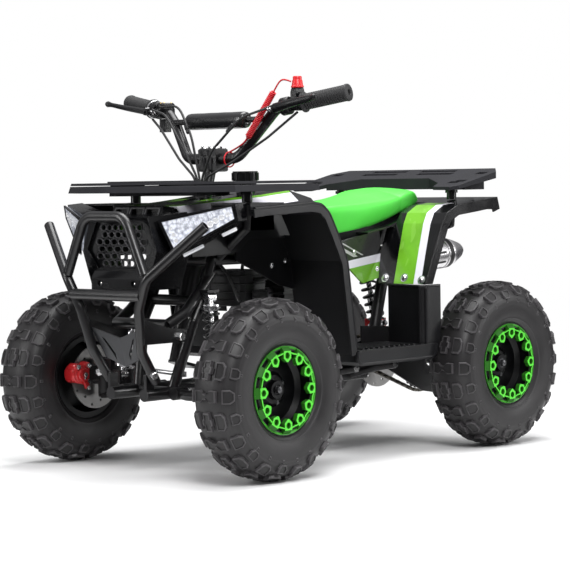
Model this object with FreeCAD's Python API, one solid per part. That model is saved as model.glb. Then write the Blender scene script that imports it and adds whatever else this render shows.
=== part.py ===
# Mini quad bike, 49 cc class. Millimetres, +X to the front, +Y to the rider's left, +Z up.
# The origin is on the ground, midway between the axles.
import FreeCAD, Part
import math
import os

V = FreeCAD.Vector

# Pieces that seat on one another lie this far apart
PAIR_GAP = 0.3

# Running gear
WHEELBASE = 715.0
FRONT_TRACK = 560.0
REAR_TRACK = 530.0
TYRE_R = 176.0
LUG_HEIGHT = 7.0
LUG_PITCHES = 14
TYRE_HALF_W = 53.0
LUG_HALF_W = 56.0
BEAD_R = 78.0
BEAD_HALF_W = 40.0
RIM_GAP = 0.4
RIM_WALL = 3.5
RING_R = 85.0
RING_INNER_R = 72.0
RING_BOSS_R = 57.0
RING_BOLT_R = 66.0
RING_DEPTH = 8.0
RING_BOSSES = 12
WEB_OFFSET = 2.0
HUB_R = 19.0
SPINDLE_R = 8.0
RUN_GAP = 0.05
FRONT_DISC_R = 65.0
DISC_THICK = 3.0
DISC_HOLES = 14
AXLE_X = WHEELBASE / 2
AXLE_Z = TYRE_R

# Steering and front suspension
AXLE_R = 10.0
KINGPIN_Y = FRONT_TRACK / 2 - 92
KINGPIN_R = 8.0
KNUCKLE_R = 13.0
KNUCKLE_HALF_H = 32.0
YOKE_THICK = 7.0
YOKE_DEPTH = 34.0
ARM_TUBE_R = 10.5
BUSH_R = 12.5
ARM_FRONT = 40.0
ARM_REAR = 45.0
SHOCK_INSET = 54.0
SHOCK_RISE = 10.0
SHOCK_HEAD = V(AXLE_X - 25.5, 98, 346)
COILS = 7
SHOCK_EYE_HALF = 11.0
COLUMN_TOP = V(219, 0, 620)
COLUMN_BOTTOM = V(AXLE_X - 19, 0, AXLE_Z + 37)
COLUMN_R = 11.0
HEAD_TUBE_R = 19.0
PITMAN_REACH = 45.0
PITMAN_PIN_Y = 24.0
PITMAN_DROP = 10.0
TIE_ROD_R = 4.5
ROD_EYE_R = 10.0
ROD_EYE_THICK = 10.0
PIN_R = 4.0
ARM_THICK = 7.0

# Handlebar
BAR_R = 11.0
BAR_BEND_R = 34.0
BAR_CLAMP_HALF = 71.0
BAR_KNEE = V(196, 128, 690)
BAR_SHOULDER = V(192, 156, 718)
BAR_END = V(154, 311, 744)
GRIP_LEN = 100.0
GRIP_R = 16.5
PAD_R = 17.0
PAD_HALF = 84.0
PAD_CENTRE = V(203, 0, 697)
LEFT_PERCH = 150.0
RIGHT_PERCH = 126.0
SWITCH_REACH = 114.0
THROTTLE_REACH = 149.0
CAP_LOW_Z = 757.0
COIL_TOP = V(204, 160, 752)
COIL_LOW = V(231, 104, 652)
COIL_R = 5.0
LANYARD_R = 1.6
RING_Y = 47.0
RING_TURN_R = 15.0
CABLE_R = 2.5

# Frame and bumper
RAIL_R = 12.5
RAIL_Y = 72.0
RAIL_Z = AXLE_Z - 16
NOSE_RAIL_Y = 48.0
TOP_RAIL_Z = 418.0
ENGINE_LOW_Z = RAIL_Z + 16
REAR_EYE_HALF = 14.0
UPRIGHT_R = 11.0
BUMPER_R = 10.0
BUMPER_BEND_R = 38.0
HOOP_TOP = V(519, 58, 510)
HOOP_FOOT = V(519, 110, 397)
HORN_TIP = V(466, 225, 491)
OUTER_BEND = V(518, 112, 388)
OUTER_MID = V(511, 84, 331)
OUTER_LOW = V(492, 70, 245)
OUTER_FOOT = V(452, 66, RAIL_Z + 26)
HORN_DEPTH = 60.0
CROSSBAR_Z = 357.0
CROSSBAR_R = 11.0

# Bodywork
SHELL = 4.0
LIP = 16.0
FENDER_Y = 256.0
FENDER_INNER_Y = 128.0
SHIELD_INNER_Y = 100.0
SHIELD_TOP_Z = 463.0
BOARD_LOW_Z = RAIL_Z + 38
BOARD_INNER_Y = 132.0
BOARD_DEPTH = 31.0
BOARD_GAP = 5.5
BOARD_REAR_X = -AXLE_X + TYRE_R + BOARD_GAP
WELL_TOP_Z = 352.0
FENDER_DECK_Z = 532.0
RACK_TOP_Z = 574.0
RACK_SKIRT = 20.0
RACK_PLATE = 5.0
RACK_WALL = 4.0
RACK_FLARE = 6.0
RACK_FRONT_X = 468.0
RACK_HALF_W = 240.0
RACK_HOLE_R = 4.25
RACK_HOLE_X = (234, 356)
RACK_HOLE_Y = 215
RACK_SLOTS = ((404, 430, 66, 140), (318, 392, 176, 196), (300, 392, 66, 86), (236, 262, 66, 190), (196, 218, 90, 200))
REAR_BODY_Y = 246.0
REAR_LIP = 22.0
REAR_RACK_TILT = 12.4
REAR_RACK_X = -349.0
REAR_RACK_Z = 573.0
REAR_SLOTS = ((-318, -300, 186, 214), (-400, -384, 30, 130), (-424, -410, 20, 120), (-404, -384, 196, 222), (-330, -312, 196, 222))
POST_R = 10.5
POST_X = 286.0
POST_Y = 160.0
REAR_POST_X = -350.0
REAR_DECK_Z = 526.5
ARM_R = 9.0
HOOD_SLOT_HALF = 24.0
HOOD_STATIONS = (
    (400, 100, 78, 527, 505), (300, 110, 76, 535, 505), (245, 112, 72, 541, 505), (160, 112, 70, 550, 505),
    (46, 108, 34, 557, 500), (-30, 92, 40, 536, 486),
)
CAP_X = 126.0
CAP_R = 28.0
CAP_BASE_Z = 574.0
GUARD_Y = RAIL_Y + RAIL_R + PAIR_GAP
PANEL_Y = 95.2
ARM_SIDE_Y = 36.0
ARM_SIDE_T = 10.0
REAR_FOOT = V(-AXLE_X + 67.5, 0, AXLE_Z + 60)
REAR_DISC_R = 69.0
REAR_DISC_Y = 66.0
SPROCKET_R = 66.0
SPROCKET_TEETH = 30
CHAIN_Y = 51.5
CHAIN_W = 7.0
CHAIN_H = 8.0
GEAR_X = -118.0
GEAR_Z = RAIL_Z + 56
GEAR_R = 15.0
MUFFLER_Y = 120.0
MUFFLER_R = 33.0
SEAT_HALF_W = 104.0

def flip(shape):
    return shape.mirror(V(0, 0, 0), V(0, 1, 0))


def flip_point(point):
    return V(point.x, -point.y, point.z)


def fuse(shapes):
    return shapes[0].multiFuse(shapes[1:]).removeSplitter()


def box(x0, x1, y0, y1, z0, z1):
    return Part.makeBox(x1 - x0, y1 - y0, z1 - z0, V(x0, y0, z0))


def rod(start, end, radius):
    return Part.makeCylinder(radius, start.distanceToPoint(end), start, end - start)


def pipe(start, end, outer, inner):
    return rod(start, end, outer).cut(rod(start, end, inner))


def tube(points, radius, bend):
    """A bent tube: cylinders along the runs and a turned arc at each bend."""
    parts = []
    here = points[0]
    for before, corner, after in zip(points, points[1:], points[2:]):
        back = (before - corner).normalize()
        ahead = (after - corner).normalize()
        turn = math.pi - back.getAngle(ahead)
        run = min(before.distanceToPoint(corner), after.distanceToPoint(corner))
        reach = min(bend * math.tan(turn / 2), 0.45 * run)
        first = corner + back * reach
        arc_r = reach / math.tan(turn / 2)
        centre = corner + (back + ahead).normalize() * (arc_r / math.cos(turn / 2))
        axis = ahead.cross(back).normalize()
        face = Part.Face(Part.Wire(Part.makeCircle(radius, first, back)))
        parts.append(rod(here, first, radius))
        elbow = face.revolve(centre, axis, math.degrees(turn))
        parts.append(elbow)
        here = corner + ahead * reach
    parts.append(rod(here, points[-1], radius))
    return parts[0].multiFuse(parts[1:]) if len(parts) > 1 else parts[0]


def mitred(points, radius):
    """Straight tubes that run a little past their corners, as cut and welded joints do."""
    parts = []
    for start, end in zip(points, points[1:]):
        along = (end - start).normalize() * (0.35 * radius)
        first = start if start is points[0] else start - along
        last = end if end is points[-1] else end + along
        parts.append(rod(first, last, radius))
    return parts


def plate(points, thickness):
    """A flat plate: its outline, pushed along its own normal."""
    outline = Part.makePolygon(points + [points[0]])
    face = Part.Face(outline)
    return face.extrude(face.normalAt(0, 0) * thickness)


def side_profile(points, y0, y1):
    """An outline in the X-Z plane, pushed from y0 to y1."""
    wire = Part.makePolygon([V(x, y0, z) for x, z in points + [points[0]]])
    return Part.Face(wire).extrude(V(0, y1 - y0, 0))


def section(x, corners):
    return Part.makePolygon([V(x, y, z) for y, z in corners + [corners[0]]])


def loft(wires, ruled=True):
    return Part.makeLoft(wires, True, ruled)


def block(loops):
    """A closed solid through several loops of corners, with its skin in triangles."""
    faces = []

    def facet(a, b, c):
        if (b - a).cross(c - a).Length > 1e-6:
            faces.append(Part.Face(Part.makePolygon([a, b, c, a])))

    for near, far in zip(loops, loops[1:]):
        for index, corner in enumerate(near):
            after = (index + 1) % len(near)
            facet(corner, near[after], far[after])
            facet(corner, far[after], far[index])
    for cap in (loops[0], loops[-1]):
        for index in range(1, len(cap) - 1):
            facet(cap[0], cap[index], cap[index + 1])
    solid = Part.Solid(Part.Shell(faces))
    if solid.Volume < 0:
        solid.reverse()
    return solid


def strip(points, thickness):
    """The outline of a bent sheet: a line of (x, z) points and the same line one thickness to its right."""
    inner = []
    for index, (x, z) in enumerate(points):
        before = points[max(index - 1, 0)]
        after = points[min(index + 1, len(points) - 1)]
        first = V(x - before[0], 0, z - before[1])
        last = V(after[0] - x, 0, after[1] - z)
        first = last if first.Length == 0 else first
        last = first if last.Length == 0 else last
        middle = (first.normalize() + last.normalize()).normalize()
        reach = thickness / middle.dot(last)
        inner.append((x + middle.z * reach, z - middle.x * reach))
    return points + inner[::-1]


def revolved(profile):
    """A closed profile of (offset, radius) points turned about the Y axis."""
    wire = Part.makePolygon([V(radius, offset, 0) for offset, radius in profile + [profile[0]]])
    return Part.Face(wire).revolve(V(0, 0, 0), V(0, 1, 0), 360)


def ring_of_sections(sections):
    """A closed ring through loops of corners, with its skin in triangles."""
    faces = []
    for near, far in zip(sections, sections[1:] + sections[:1]):
        for index, corner in enumerate(near):
            after = (index + 1) % len(near)
            for a, b, c in ((corner, near[after], far[after]), (corner, far[after], far[index])):
                faces.append(Part.Face(Part.makePolygon([a, b, c, a])))
    solid = Part.Solid(Part.Shell(faces))
    if solid.Volume < 0:
        solid.reverse()
    return solid


def belt_face(front, front_r, rear, rear_r, y):
    """Face inside a belt's loop round two circles in the X-Z plane."""
    along = (rear - front).normalize()
    up = V(0, 1, 0).cross(along)
    share = (front_r - rear_r) / front.distanceToPoint(rear)
    lift = math.sqrt(1 - share * share)
    high = along * share + up * lift
    low = along * share - up * lift
    shift = V(0, y, 0)
    corners = [front + high * front_r, rear + high * rear_r, rear + low * rear_r, front + low * front_r]
    corners = [corner + shift for corner in corners]
    edges = [
        Part.LineSegment(corners[0], corners[1]).toShape(),
        Part.Arc(corners[1], rear + along * rear_r + shift, corners[2]).toShape(),
        Part.LineSegment(corners[2], corners[3]).toShape(),
        Part.Arc(corners[3], front - along * front_r + shift, corners[0]).toShape(),
    ]
    return Part.Face(Part.Wire(edges))


# Wheels are drawn about the origin with the axle along Y and the outer side at +Y.

def tyre():
    """Tyre with two rows of staggered lugs: radial sections, by turns at a lug and in a groove."""
    groove = [(BEAD_R, -BEAD_HALF_W), (BEAD_R + 10, -BEAD_HALF_W), (124, -TYRE_HALF_W), (146, -TYRE_HALF_W + 2),
              (161, -45), (TYRE_R - LUG_HEIGHT - 2, -22), (TYRE_R - LUG_HEIGHT, 0)]
    lug = [(BEAD_R, -BEAD_HALF_W), (BEAD_R + 10, -BEAD_HALF_W), (124, -TYRE_HALF_W), (145, -LUG_HALF_W),
           (TYRE_R - 6, -LUG_HALF_W + 8), (TYRE_R, -24), (TYRE_R, 4)]
    sections = []
    steps = 4 * LUG_PITCHES
    for index in range(steps):
        left = lug if index % 4 < 2 else groove
        right = groove if index % 4 < 2 else lug
        share = (index // 2 + (0.14 if index % 2 == 0 else 0.86)) / (2 * LUG_PITCHES)
        angle = share * 2 * math.pi
        profile = left + [(radius, -offset) for radius, offset in right[-2::-1]]
        sections.append([V(radius * math.cos(angle), offset, radius * math.sin(angle)) for radius, offset in profile])
    return ring_of_sections(sections)


def rim(hub_inner, hub_outer, bore):
    outer = BEAD_R - RIM_GAP
    inner = outer - RIM_WALL
    flange = BEAD_HALF_W + PAIR_GAP
    profile = [
        (-flange - 3, inner), (-flange - 3, RING_R), (-flange, RING_R), (-flange, outer),
        (BEAD_HALF_W, outer), (BEAD_HALF_W, inner - 2), (BEAD_HALF_W - 3, inner - 2),
        (BEAD_HALF_W - 3, inner), (WEB_OFFSET + 12, inner), (WEB_OFFSET + 4, inner - 10),
        (WEB_OFFSET + 4, HUB_R + 16), (WEB_OFFSET + 10, HUB_R + 8), (WEB_OFFSET + 10, HUB_R),
        (hub_outer, HUB_R - 2), (hub_outer, bore), (hub_inner, bore), (hub_inner, HUB_R),
        (WEB_OFFSET, HUB_R), (WEB_OFFSET, inner - 10), (WEB_OFFSET + 6, inner),
    ]
    return revolved(profile)


def bead_ring():
    """Outer ring with twelve bolted bosses that reach in, and open windows between them."""
    face = BEAD_HALF_W + RING_DEPTH
    shape = revolved([(BEAD_HALF_W, RING_INNER_R), (BEAD_HALF_W, RING_R), (face - 2, RING_R), (face, RING_R - 3),
                      (face, RING_INNER_R)])
    outline = [(RING_BOSS_R, -6), (RING_BOSS_R, 6), (RING_BOLT_R, 11), (RING_INNER_R + 4, 9),
               (RING_INNER_R + 4, -9), (RING_BOLT_R, -11)]
    wire = Part.makePolygon([V(r, BEAD_HALF_W, t) for r, t in outline + [outline[0]]])
    boss = Part.Face(wire).extrude(V(0, RING_DEPTH + 1.5, 0))
    hole = [V(RING_BOLT_R + 4 * math.cos(a), BEAD_HALF_W - 1, 4 * math.sin(a))
            for a in (k * math.pi / 3 for k in range(6))]
    boss = boss.cut(Part.Face(Part.makePolygon(hole + [hole[0]])).extrude(V(0, RING_DEPTH + 4, 0)))
    bosses = []
    for index in range(RING_BOSSES):
        turned = boss.copy()
        turned.rotate(V(0, 0, 0), V(0, 1, 0), index * 360 / RING_BOSSES)
        bosses.append(turned)
    return shape.multiFuse(bosses).removeSplitter()


def brake_disc(radius, bore):
    shape = revolved([(0, bore), (0, radius), (DISC_THICK, radius), (DISC_THICK, bore)])
    holes = []
    for index in range(DISC_HOLES):
        angle = index * 2 * math.pi / DISC_HOLES
        reach = radius - (7 if index % 2 else 15)
        at = V(reach * math.cos(angle), -1, reach * math.sin(angle))
        corners = [at + V(3 * math.cos(k * math.pi / 3), 0, 3 * math.sin(k * math.pi / 3)) for k in range(6)]
        holes.append(Part.Face(Part.makePolygon(corners + [corners[0]])).extrude(V(0, DISC_THICK + 2, 0)))
    return shape.cut(Part.makeCompound(holes))


HUB_INNER = -64.0
HUB_OUTER = 22.0

def front_wheel():
    spindle_bore = SPINDLE_R + RUN_GAP
    wheel = {
        "tyre": tyre(),
        "rim": rim(HUB_INNER, HUB_OUTER, spindle_bore),
        "bead_ring": bead_ring(),
        "brake_disc": brake_disc(FRONT_DISC_R, spindle_bore).translate(V(0, HUB_INNER - DISC_THICK, 0)),
    }
    return wheel


def knuckle():
    """Left steering knuckle: kingpin barrel, spindle, steering arm and the caliper's bracket."""
    top = AXLE_Z + KNUCKLE_HALF_H
    low = AXLE_Z - KNUCKLE_HALF_H
    barrel = rod(V(AXLE_X, KINGPIN_Y, low), V(AXLE_X, KINGPIN_Y, top), KNUCKLE_R)
    disc_face = FRONT_TRACK / 2 + HUB_INNER - DISC_THICK
    boss = rod(V(AXLE_X, KINGPIN_Y, AXLE_Z), V(AXLE_X, disc_face - 1, AXLE_Z), 15)
    spindle = rod(V(AXLE_X, KINGPIN_Y, AXLE_Z), V(AXLE_X, FRONT_TRACK / 2 + HUB_OUTER - 1, AXLE_Z), SPINDLE_R)
    eye_at = V(AXLE_X - PITMAN_REACH, KINGPIN_Y, top - ARM_THICK)
    arm = box(eye_at.x, AXLE_X, KINGPIN_Y - 7, KINGPIN_Y + 7, eye_at.z, top)
    eye = rod(eye_at, eye_at + V(0, 0, ARM_THICK), ROD_EYE_R)
    pin = rod(eye_at, eye_at - V(0, 0, PAIR_GAP + ROD_EYE_THICK + 2), PIN_R)
    bracket = box(AXLE_X, AXLE_X + 46, KINGPIN_Y + 8, KINGPIN_Y + 13, AXLE_Z - 4, AXLE_Z + 24)
    shape = fuse([barrel, boss, spindle, arm, eye, pin, bracket])
    bore = rod(V(AXLE_X, KINGPIN_Y, low - 1), V(AXLE_X, KINGPIN_Y, top + 1), KINGPIN_R + RUN_GAP)
    return shape.cut(bore)


def front_caliper():
    """Left caliper: two cheeks and a bridge over the disc's front edge."""
    disc_in = FRONT_TRACK / 2 + HUB_INNER - DISC_THICK
    disc_out = FRONT_TRACK / 2 + HUB_INNER
    x0 = AXLE_X + 46 + PAIR_GAP
    cheek_in = box(x0, x0 + 36, disc_in - 19, disc_in - 1.5, AXLE_Z - 14, AXLE_Z + 34)
    bridge = box(AXLE_X + FRONT_DISC_R + 3, x0 + 36, disc_in - 19, disc_out + 5, AXLE_Z - 6, AXLE_Z + 26)
    cheek_out = box(x0, x0 + 36, disc_out + 1.5, disc_out + 5, AXLE_Z - 6, AXLE_Z + 26)
    piston = rod(V(x0 + 16, disc_in - 30, AXLE_Z + 10), V(x0 + 16, disc_in - 18, AXLE_Z + 10), 13)
    return fuse([cheek_in, bridge, cheek_out, piston])


def front_arm():
    """Left A-arm with its pivot bushes, shock ears and the yoke that carries the kingpin."""
    top = AXLE_Z + KNUCKLE_HALF_H + PAIR_GAP
    low = AXLE_Z - KNUCKLE_HALF_H - PAIR_GAP
    pin = rod(V(AXLE_X, KINGPIN_Y, low - YOKE_THICK - 3), V(AXLE_X, KINGPIN_Y, top + YOKE_THICK + 3), KINGPIN_R)
    parts = [pin]
    root_y = KINGPIN_Y - YOKE_DEPTH
    for z in (low - YOKE_THICK, top):
        parts.append(box(AXLE_X - 13, AXLE_X + 13, root_y, KINGPIN_Y, z, z + YOKE_THICK))
        parts.append(rod(V(AXLE_X, KINGPIN_Y, z), V(AXLE_X, KINGPIN_Y, z + YOKE_THICK), 13))
    parts.append(box(AXLE_X - 13, AXLE_X + 13, root_y, root_y + 8, low - 1, top + 1))
    bush_y = NOSE_RAIL_Y + RAIL_R + PAIR_GAP + BUSH_R
    ear_y = KINGPIN_Y - SHOCK_INSET
    for x, ear in ((AXLE_X + ARM_FRONT, 1), (AXLE_X - ARM_REAR, -1)):
        inner = V(x, bush_y, RAIL_Z)
        knee = V(x, bush_y + 30, RAIL_Z - 4)
        outer = V(AXLE_X, root_y + 4, AXLE_Z - 14)
        parts.append(tube([inner, knee, outer], ARM_TUBE_R, 60))
        parts.append(rod(inner - V(16, 0, 0), inner + V(16, 0, 0), BUSH_R))
        ear_x = AXLE_X + ear * (SHOCK_EYE_HALF + PAIR_GAP)
        parts.append(box(min(ear_x, ear_x + 5 * ear), max(ear_x, ear_x + 5 * ear), ear_y - 11, ear_y + 11,
                         AXLE_Z - 26, AXLE_Z + SHOCK_RISE + 9))
    return fuse(parts)


def coil_over(foot, head, half_eye, coil_r):
    """A shock absorber: two eyes and one turned body with its spring as a row of ridges."""
    length = foot.distanceToPoint(head)
    seat_r = coil_r + 2
    low = 20
    high = length - 22
    pitch = (high - low - 8) / COILS
    profile = [(0, 0), (6, 0), (6, low), (seat_r, low), (seat_r, low + 4), (coil_r - 6, low + 4)]
    for index in range(COILS):
        at = low + 4 + pitch * index
        profile += [(coil_r, at + 0.35 * pitch), (coil_r, at + 0.65 * pitch), (coil_r - 6, at + pitch)]
    profile += [(coil_r - 6, high - 4), (seat_r, high - 4), (seat_r, high), (6, high), (6, length), (0, length)]
    profile = [point for index, point in enumerate(profile) if index == 0 or point != profile[index - 1]]
    wire = Part.makePolygon([V(radius, 0, along) for radius, along in profile + [profile[0]]])
    body = Part.Face(wire).revolve(V(0, 0, 0), V(0, 0, 1), 360)
    body.Placement = FreeCAD.Placement(foot, FreeCAD.Rotation(V(0, 0, 1), head - foot))
    return fuse([body, rod(foot - half_eye, foot + half_eye, 9), rod(head - half_eye, head + half_eye, 9)])


def front_shock():
    """Left coil-over shock from the A-arm to the frame's upper bracket."""
    foot = V(AXLE_X, KINGPIN_Y - SHOCK_INSET, AXLE_Z + SHOCK_RISE)
    return coil_over(foot, SHOCK_HEAD, V(SHOCK_EYE_HALF, 0, 0), 18)


def column_point(reach):
    """The point on the steering axis that lies this far down from the handlebar clamp."""
    along = (COLUMN_BOTTOM - COLUMN_TOP).normalize()
    return COLUMN_TOP + along * reach


def steering_column():
    axis = (COLUMN_TOP - COLUMN_BOTTOM).normalize()
    shaft = rod(COLUMN_BOTTOM, COLUMN_TOP - axis * 14, COLUMN_R)
    behind = axis.cross(V(0, 1, 0)).normalize()
    if behind.x > 0:
        behind = behind * -1
    base = COLUMN_BOTTOM
    pin_points = [base + behind * PITMAN_REACH + V(0, side * PITMAN_PIN_Y, 0) for side in (1, -1)]
    outline = [base + V(0, 18, 0), pin_points[0] + V(0, 9, 0) + behind * 8,
               pin_points[1] - V(0, 9, 0) + behind * 8, base - V(0, 18, 0)]
    pitman = plate(outline, 6)
    clamp_low = box(COLUMN_TOP.x - 16, COLUMN_TOP.x + 16, -24, 24, COLUMN_TOP.z - 26, COLUMN_TOP.z + 20)
    bar_hole = rod(V(COLUMN_TOP.x, -40, COLUMN_TOP.z), V(COLUMN_TOP.x, 40, COLUMN_TOP.z), BAR_R)
    shape = fuse([shaft, pitman, clamp_low])
    return shape.cut(bar_hole)


def tie_rod():
    """Left tie rod, from its eye on the knuckle's arm to its free inner eye under the pitman plate."""
    outer = V(AXLE_X - PITMAN_REACH, KINGPIN_Y, AXLE_Z + KNUCKLE_HALF_H - ARM_THICK - PAIR_GAP - ROD_EYE_THICK)
    axis = (COLUMN_TOP - COLUMN_BOTTOM).normalize()
    behind = V(-axis.z, 0, axis.x)
    inner = COLUMN_BOTTOM + behind * PITMAN_REACH + V(0, PITMAN_PIN_Y, -PITMAN_DROP - ROD_EYE_THICK)
    middle = V(0, 0, ROD_EYE_THICK / 2)
    outer_eye = rod(outer, outer + middle * 2, ROD_EYE_R)
    inner_eye = rod(inner, inner + middle * 2, ROD_EYE_R)
    shaft = rod(outer + middle - V(0, 6, 0), inner + middle + V(0, 6, 0), TIE_ROD_R)
    shape = fuse([outer_eye, inner_eye, shaft])
    hole = rod(outer - middle, outer + middle * 3, PIN_R + RUN_GAP)
    return shape.cut(hole)


def handlebar():
    start = V(COLUMN_TOP.x, 0, COLUMN_TOP.z)
    half = [start, V(COLUMN_TOP.x, BAR_CLAMP_HALF, COLUMN_TOP.z), BAR_KNEE, BAR_SHOULDER, BAR_END]
    left = tube(half, BAR_R, BAR_BEND_R)
    cross_start = V(PAD_CENTRE.x, -132, PAD_CENTRE.z)
    crossbar = rod(cross_start, flip_point(cross_start), 6)
    return fuse([left, flip(left), crossbar])


def grips():
    along = (BAR_END - BAR_SHOULDER).normalize()
    inner = BAR_END - along * GRIP_LEN
    grip = rod(inner, BAR_END + along * 4, GRIP_R)
    collar = rod(inner, inner + along * 5, GRIP_R + 4)
    grip = fuse([grip, collar]).cut(handlebar())
    return Part.makeCompound([grip, flip(grip)])


def bar_pad():
    start = V(PAD_CENTRE.x, -PAD_HALF, PAD_CENTRE.z)
    shape = rod(start, flip_point(start), PAD_R)
    return shape.cut(rod(start - V(0, 1, 0), flip_point(start) + V(0, 1, 0), 6))


def brake_levers():
    """Right and left levers on their perches; the left one is a shorter blade."""
    along = (BAR_END - BAR_SHOULDER).normalize()
    shapes = []
    for right, perch_reach, reach in ((True, RIGHT_PERCH, 128), (False, LEFT_PERCH, 84)):
        perch_at = BAR_END - along * perch_reach
        perch = rod(perch_at, perch_at + along * 20, BAR_R + 7)
        pivot = perch_at + along * 8 + V(30, 0, -4)
        arm = box(pivot.x - 34, pivot.x + 8, pivot.y - 9, pivot.y + 9, pivot.z - 7, pivot.z + 7)
        tip_at = pivot + along * reach + V(32, 0, 0)
        blade = mitred([pivot, pivot + along * 26 + V(16, 0, 2), tip_at], 5)
        tip = rod(tip_at - along * 6, tip_at + along * 6, 7)
        shape = fuse([perch, arm, tip] + blade).cut(handlebar())
        shapes.append(flip(shape) if right else shape)
    return Part.makeCompound(shapes)


def bar_point(reach, side):
    """A point on the bar this far in from its end; side is 1 on the left and -1 on the right."""
    along = (BAR_END - BAR_SHOULDER).normalize()
    point = BAR_END - along * reach
    return V(point.x, side * point.y, point.z)


def bar_controls():
    """Stop switch on the left; throttle housing and a small switch on the right."""
    stop = bar_point(SWITCH_REACH, 1)
    stop_box = box(stop.x - 13, stop.x + 13, stop.y - 8, stop.y + 8, stop.z - 14, CAP_LOW_Z - PAIR_GAP)
    throttle = bar_point(THROTTLE_REACH, -1)
    housing = rod(throttle - V(0, 0, 13), throttle + V(0, 0, 19), 20)
    lever = box(throttle.x + 10, throttle.x + 34, throttle.y - 10, throttle.y + 8, throttle.z - 10, throttle.z - 4)
    small = box(throttle.x - 11, throttle.x + 7, throttle.y - 12, throttle.y + 6, throttle.z - 42, throttle.z - 13.3)
    bar = handlebar()
    shapes = [stop_box.cut(bar), fuse([housing, lever]).cut(bar), small.cut(bar)]
    return Part.makeCompound(shapes)


def kill_switch_cap():
    """Red cap pushed on the stop switch."""
    at = bar_point(SWITCH_REACH, 1)
    base = V(at.x, at.y, CAP_LOW_Z)
    return fuse([Part.makeCone(13, 9, 18, base), rod(base + V(0, 0, 17), base + V(0, 0, 23), 9)])


def tether():
    """Coiled lanyard from the cap to a ring round the bar's lower bend."""
    coil = rod(COIL_TOP, COIL_LOW, COIL_R)
    ring_z = COLUMN_TOP.z + BAR_R + PAIR_GAP + LANYARD_R - RING_TURN_R
    ring = Part.makeTorus(RING_TURN_R, LANYARD_R, V(COLUMN_TOP.x, RING_Y, ring_z), V(0, 1, 0))
    ring_top = V(COLUMN_TOP.x, RING_Y, ring_z + RING_TURN_R)
    low_cord = rod(COIL_LOW, ring_top, LANYARD_R)
    at = bar_point(SWITCH_REACH, 1)
    cap_side = V(at.x + 13.4, at.y - 4, CAP_LOW_Z + 12)
    top_cord = tube([COIL_TOP, COIL_TOP + V(0, 14, 22), cap_side], LANYARD_R, 30)
    return fuse([coil, ring, low_cord, top_cord])


def control_cables():
    """Brake and throttle cables, held at the levers and where they pass down through the hood."""
    left = bar_point(LEFT_PERCH - 8, 1)
    right = bar_point(RIGHT_PERCH - 8, -1)
    throttle = bar_point(THROTTLE_REACH, -1)
    switch = bar_point(SWITCH_REACH, 1)
    down = column_point(78) + V(COLUMN_R + 6, 0, 0)
    lane = 2 * CABLE_R + PAIR_GAP
    routes = []
    for start, mid, low, step in (
            (left + V(26.9, -12, 0), V(252, 112, 700), V(264, 40, 634), 1),
            (switch + V(0, 0, -16.25), V(214, 150, 660), V(248, 84, 612), 2),
            (right + V(30, 14, 0), V(254, -100, 712), V(268, -40, 650), -1),
            (right + V(31, 16, -20), V(246, -124, 684), V(258, -58, 620), -2),
            (throttle + V(20.8, 8, 10), V(238, -78, 730), V(262, -18, 668), 0)):
        routes.append([start, mid, low, down + V(0, step * lane, 34), down + V(0, step * lane, -4)])
    return Part.makeCompound([tube(route, CABLE_R, 70) for route in routes])


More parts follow.
